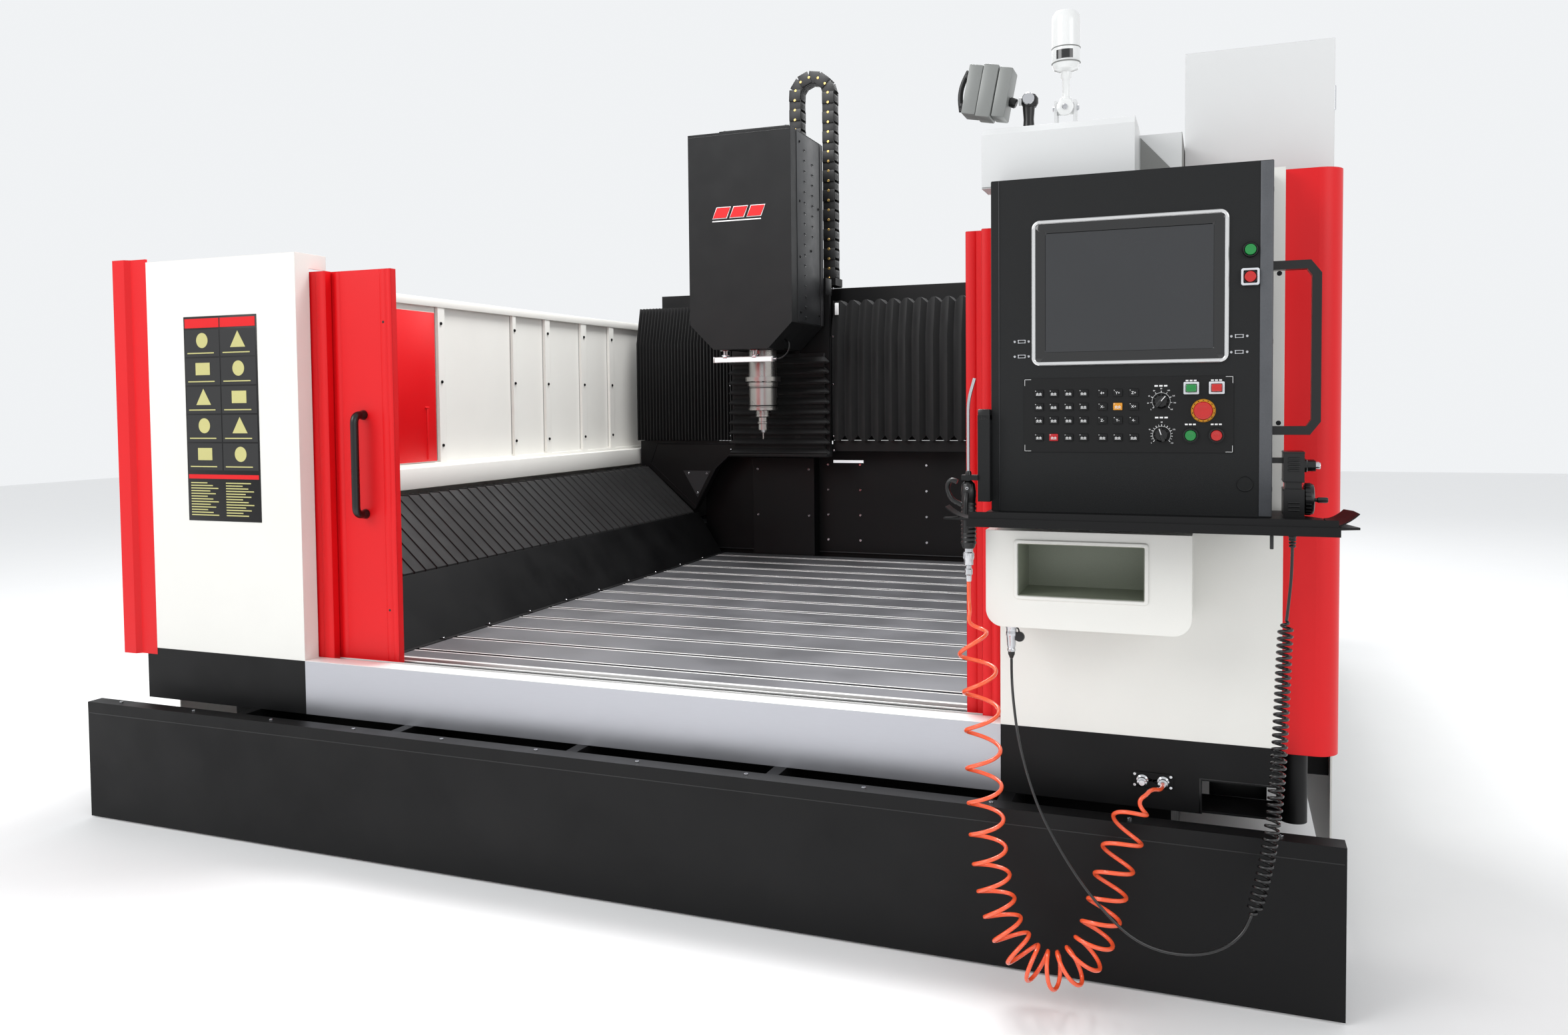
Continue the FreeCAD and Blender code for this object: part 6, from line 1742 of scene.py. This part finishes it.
@dataclass
class Lamps:
    """Tower light on its folding arm and the tilting work lamp."""

    def tower(self) -> None:
        """White capsule with its dark window, stalk and knuckle."""
        x, y, pivot, base = 1.083, -1.51, 1.759, 1.834
        body = Form().turned([(0, 0), (0.012, 0), (0.024, 0.004), (0.0275, 0.012), (0.0285, 0.05), (0.0285, 0.1),
                              (0.0272, 0.114), (0.022, 0.1215), (0.01, 0.1245), (0, 0.125)], (x, y, base), sides=48)
        body.turned([(0, 0), (0.0105, 0), (0.0105, 0.012), (0.008, 0.014), (0.008, 0.05), (0.011, 0.054),
                     (0.011, 0.066), (0, 0.066)], (x, y, base - 0.066), sides=32)
        body.slab((x - 0.0125, y - 0.007, pivot - 0.006), (x + 0.0125, y + 0.007, pivot + 0.022), 0.003)
        body.turned([(0.0042, 0), (0.0125, 0), (0.0132, 0.002), (0.0132, 0.0292), (0.0125, 0.0312), (0.0042, 0.0312),
                     (0.0042, 0)], (x - 0.0156, y, pivot), (1, 0, 0), 40)
        body.piece("tower_light_body", LAMP_WHITE, "tower_lamp", "tower_light")
        window = []
        for k in range(9):
            angle = math.radians(-35 + 70 * k / 8)
            spot = (x + 0.0288 * math.sin(angle), y - 0.0288 * math.cos(angle))
            window.append([(*spot, base + 0.022), (*spot, base + 0.04)])
        Form().sheet(window, 0.0006).piece("tower_light_window", SCREEN_BORDER, "tower_lamp")
        rings = Form()
        for z in (0.016, 0.046):
            rings.turned([(0.0284, 0), (0.0292, 0.0008), (0.0292, 0.0018), (0.0284, 0.0026)], (x, y, base + z),
                         sides=48)
        rings.piece("tower_light_rings", SEAM_SHADE, "tower_lamp")
        screws = Form()
        for sign in (-1, 1):
            screws.screw((x + sign * 0.0221, y, pivot), (sign, 0, 0), 0.006)
        disc = Form().turned([(0, 0), (0.016, 0), (0.017, 0.0015), (0.017, 0.0045), (0.014, 0.006), (0, 0.006)],
                             (x, y - 0.0142, pivot), (0, -1, 0), 40)
        screws.screw((x, y - 0.0202, pivot), (0, -1, 0), 0.0055)
        disc.piece("tower_disc", LAMP_WHITE, "machine")
        screws.piece("tower_screws", CHROME, "machine")

    def work(self) -> None:
        """Grey three-part lamp, tilted, with its handle and ball mount."""
        middle = Vector((0.929, -1.53, 1.801))
        lean = Matrix.Translation(middle) @ Matrix.Rotation(math.radians(11), 4, "Y")
        body, dark, mount = Form(), Form(), Form()
        for k, wide in ((-1, 0.03), (0, 0.032), (1, 0.028)):
            body.block((wide, 0.064 - 0.004 * abs(k), 0.108 - 0.006 * abs(k)),
                       lean @ Matrix.Translation((k * 0.0312, 0, 0)), 0.003)
        dark.block((0.09, 0.05, 0.094), lean, 0.002)
        for z in (-0.03, 0.03):
            dark.block((0.014, 0.014, 0.01), lean @ Matrix.Translation((-0.0505, 0, z)), 0.002)
        arch = [lean @ Vector((-0.052 - 0.009 * math.sin(math.pi * k / 10), 0, 0.042 - 0.0084 * k)) for k in range(11)]
        dark.tube(arch, 0.0055, 12)
        mount.rod(lean @ Vector((0.044, 0, -0.012)), lean @ Vector((0.06, 0, -0.016)), 0.01, 0.002, 20)
        body.piece("work_lamp_body", LAMP_GREY, "work_lamp_head", "work_lamp")
        dark.piece("work_lamp_core", BLACK_NYLON, "work_lamp_head")
        mount.piece("work_lamp_mount", BLACK_NYLON, "work_lamp_head")
        glass = Form().block((0.088, 0.0016, 0.088), lean @ Matrix.Translation((0, 0.0315, 0)), 0.0005)
        glass.piece("work_lamp_glass", GLOWING_LENS, "work_lamp_head")
        stand = Form()
        stand.turned([(0, 0), (0.013, 0.002), (0.0175, 0.01), (0.0175, 0.02), (0.012, 0.028), (0, 0.03)],
                     (1.012, -1.53, 1.762), sides=28)
        stand.turned([(0, 0), (0.024, 0), (0.024, 0.005), (0.012, 0.01), (0.0105, 0.03), (0.0125, 0.056), (0, 0.056)],
                     (1.01, -1.53, 1.709), sides=28)
        stand.piece("work_lamp_stand", BLACK_NYLON, "machine")
        bolts = Form().screw((1.025, -1.548, 1.7095), (0, 0, 1), 0.005)
        bolts.screw((0.992, -1.545, 1.7095), (0, 0, 1), 0.005)
        knob = bolts.turned([(0, 0), (0.012, 0.001), (0.0125, 0.004), (0.011, 0.006), (0, 0.0065)],
                            (1.012, -1.5475, 1.778), (0, -1, 0), 28)
        knob.piece("work_lamp_bolts", CHROME, "machine")

    def build(self) -> None:
        """Make both lamps."""
        self.tower()
        self.work()


@dataclass
class HandTools:
    """Pendant, blow gun and the fittings at the ends of both cords."""

    pendant: Point = (1.49, -1.655, 0.94)
    gun: tuple[float, float] = (0.918, -1.71)

    def pendant_details(self) -> None:
        """Ribs, knobs, wheel and strain relief of the pendant."""
        dress(BLACK_NYLON, "pendant_body")
        x, y, low = self.pendant
        ribs, steel, print_ = Form(), Form(), Form()
        for base, count in ((low + 0.012, 3), (low + 0.085, 4)):
            for k in range(count):
                ribs.slab((x + 0.008, y - 0.0395, base + 0.007 * k),
                          (x + 0.027, y - 0.037, base + 0.003 + 0.007 * k), 0.0006)
        for z in (low + 0.001, low + 0.05, low + 0.066, low + 0.118):
            ribs.slab((x - 0.0008, y - 0.0325, z - 0.001), (x + 0.0358, y + 0.0325, z + 0.001), 0.0008)
        for k in range(7):
            ribs.turned([(0.0055, 0), (0.0078 - 0.0003 * k, 0.001), (0.0078 - 0.0003 * k, 0.0032), (0.0055, 0.0042)],
                        (x + 0.0175, y, 0.917 - 0.0058 * k), sides=20)
        for side in (-0.016, 0.016):
            base = (x + 0.034, y + side, low + 0.094)
            ribs.turned([(0.0102, 0), (0.0118, 0.001), (0.0118, 0.005), (0.0102, 0.0065)], base, (1, 0, 0), 24)
            steel.turned([(0, 0), (0.0062, 0), (0.0062, 0.008), (0.0056, 0.0095), (0, 0.0095)],
                         (base[0] + 0.0185, base[1], base[2]), (1, 0, 0), 24)
        ribs.piece("pendant_ribs", BLACK_NYLON, "machine")
        steel.piece("pendant_knobs", CHROME, "machine")
        face = x + 0.0353
        wheel = Form().turned([(0, 0), (0.0255, 0), (0.029, 0.002), (0.029, 0.012), (0.0272, 0.0165), (0.023, 0.0178),
                               (0.008, 0.0168), (0, 0.0168)], (face, y, 0.972), (1, 0, 0), 48)
        for k in range(24):
            angle = math.tau * k / 24
            spot = Vector((face + 0.007, y + 0.0288 * math.cos(angle), 0.972 + 0.0288 * math.sin(angle)))
            wheel.block((0.009, 0.002, 0.0016), Matrix.Translation(spot) @ Matrix.Rotation(angle, 4, "X"), 0.0005)
        wheel.turned([(0, 0), (0.0034, 0), (0.0034, 0.004), (0.0052, 0.006), (0.0052, 0.02), (0.004, 0.0225),
                      (0, 0.023)], (face + 0.017, y - 0.019, 0.972), (1, 0, 0), 20)
        wheel.piece("pendant_wheel_body", BLACK_NYLON, "pendant_handwheel", "pendant_wheel")
        for k in range(24):
            angle = math.tau * k / 24
            out = Matrix.Translation((face - 0.0002, y, 0.972)) @ Matrix.Rotation(angle, 4, "X")
            print_.block((0.0002, 0.0008, 0.003), out @ Matrix.Translation((0, 0, 0.0318)))
        print_.piece("pendant_marks", LEGEND, "machine")

    def blow_gun(self) -> None:
        """Nozzle, ribbed grip, lever, hook and couplers of the blow gun."""
        x, y = self.gun
        body, chrome = Form(), Form()
        outline = [(0, 0), (0.011, 0), (0.013, 0.004)]
        for k in range(10):
            z = 0.008 + 0.0085 * k
            outline += [(0.0138, z), (0.0152, z + 0.002), (0.0152, z + 0.0052), (0.0138, z + 0.007)]
        outline += [(0.0145, 0.098), (0.0152, 0.112), (0.013, 0.128), (0.0075, 0.134), (0, 0.134)]
        body.turned(outline, (x, y, 0.866), sides=32)
        body.turned([(0, 0), (0.0062, 0), (0.0062, 0.018), (0.005, 0.022), (0, 0.022)], (x, y, 0.998), sides=24)
        hook = rounded([(x - 0.012, y, 0.952), (x - 0.034, y, 0.962), (x - 0.044, y, 0.985), (x - 0.036, y, 1.004),
                        (x - 0.022, y, 0.998)], 0.01, 5)
        body.tube(hook, 0.0048, 12)
        body.slab((x - 0.009, y - 0.013, 0.962), (x + 0.009, y + 0.005, 0.996), 0.004)
        body.piece("blow_gun_body", BLACK_NYLON, "machine", "air_gun_body")
        chrome.tube(rounded([(x, y, 1.016), (x, y, 1.158), (x + 0.013, y, 1.203)], 0.02, 8), 0.0033, 16)
        chrome.turned([(0, 0), (0.0052, 0), (0.0058, 0.003), (0.0058, 0.012), (0.0078, 0.014), (0.0078, 0.024),
                       (0.006, 0.026), (0.006, 0.031), (0.0092, 0.033), (0.0092, 0.043), (0.0106, 0.045),
                       (0.0106, 0.057), (0.0088, 0.059), (0.0088, 0.067), (0, 0.067)], (x, y, 0.8), sides=28)
        for k in range(16):
            angle = math.tau * k / 16
            spot = Matrix.Translation((x + 0.0107 * math.cos(angle), y + 0.0107 * math.sin(angle), 0.851))
            chrome.block((0.0009, 0.0012, 0.009), spot @ Matrix.Rotation(angle, 4, "Z"), 0.0003)
        chrome.screw((x, y - 0.013, 0.986), (0, -1, 0), 0.0032)
        chrome.piece("blow_gun_metal", CHROME, "machine")
        lever = rounded([(x, -1.7305, 0.976), (x, -1.7372, 0.965), (x, -1.7395, 0.93), (x, -1.7385, 0.899)], 0.008, 5)
        Form().tube(lever, 0.005, 14).piece("blow_gun_lever", BLACK_NYLON, "gun_trigger", "air_gun_trigger")
        holder = Form().slab((0.938, -1.718, 1.118), (0.962, -1.694, 1.142), 0.003)
        holder.rod((0.9495, -1.706, 0.96), (0.9495, -1.706, 1.126), 0.0115, 0.002, 24)
        holder.piece("gun_holder", BLACK_NYLON, "machine")

    def fittings(self) -> None:
        """Air couplings on the skirt and the round plug under the box."""
        x, y, z = 1.279, -1.547, 0.386
        plate, chrome, boot = Form(), Form(), Form()
        plate.frame((1.219, y, 0.3705), (1.2985, 0, 0.4015), (1.2575, 0, 0.3855), (1.2585, 0, 0.3865),
                    0.003, 0.008, 0.0008)
        for place in (x, x - 0.04):
            chrome.turned([(0, 0), (0.0115, 0), (0.0115, 0.004), (0.0075, 0.006), (0.0075, 0.011), (0.0095, 0.012),
                           (0.0095, 0.019), (0.006, 0.0205), (0.0055, 0.023), (0, 0.023)],
                          (place, y - 0.003, z), (0, -1, 0), 28)
        for dx, dz in ((-0.055, 0.011), (-0.055, -0.011), (0.0145, 0.011), (0.0145, -0.011)):
            chrome.screw((x + dx, y - 0.003, z + dz), (0, -1, 0), 0.003)
        px, py = 0.993, -1.655
        chrome.turned([(0, 0), (0.0078, 0), (0.0082, 0.004), (0.0072, 0.006), (0.0088, 0.012), (0.0098, 0.03),
                       (0.0108, 0.032), (0.0108, 0.038), (0.0102, 0.04), (0.0102, 0.046), (0.0112, 0.048),
                       (0.0112, 0.056), (0, 0.056)],
                      (px, py, 0.654), sides=32)
        boot.turned([(0, 0), (0.0035, 0), (0.0048, 0.004), (0.0068, 0.008), (0.0068, 0.0142), (0, 0.0142)],
                    (px, py, 0.64), sides=24)
        boot.turned([(0, 0), (0.0095, 0), (0.0105, 0.003), (0.0095, 0.008), (0, 0.009)],
                    (px + 0.016, py + 0.004, 0.684), (0, -1, 0), 24)
        boot.tube(rounded([(px + 0.016, py, 0.69), (px + 0.014, py, 0.7), (px + 0.008, py, 0.704)], 0.003, 4),
                  0.0016, 8)
        plate.piece("coupling_plate", BLACK_COAT, "machine", "hose_fittings")
        chrome.piece("couplings", CHROME, "machine")
        boot.piece("plug_boot", BLACK_NYLON, "machine")

    def build(self) -> None:
        """Make the hand tools."""
        self.pendant_details()
        self.blow_gun()
        self.fittings()


def main() -> None:
    """Build the machine's looks."""
    logging.basicConfig(level=logging.INFO, format="%(message)s")
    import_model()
    for part in (Studio(), AIR_HOSE, PENDANT_LEAD, Folds(), CableChain(), Head(), Bridge(), Bed(), Enclosure(),
                 ControlPanel(), TrayAndBox(), Lamps(), HandTools()):
        part.build()


if __name__ == "__main__":
    main()
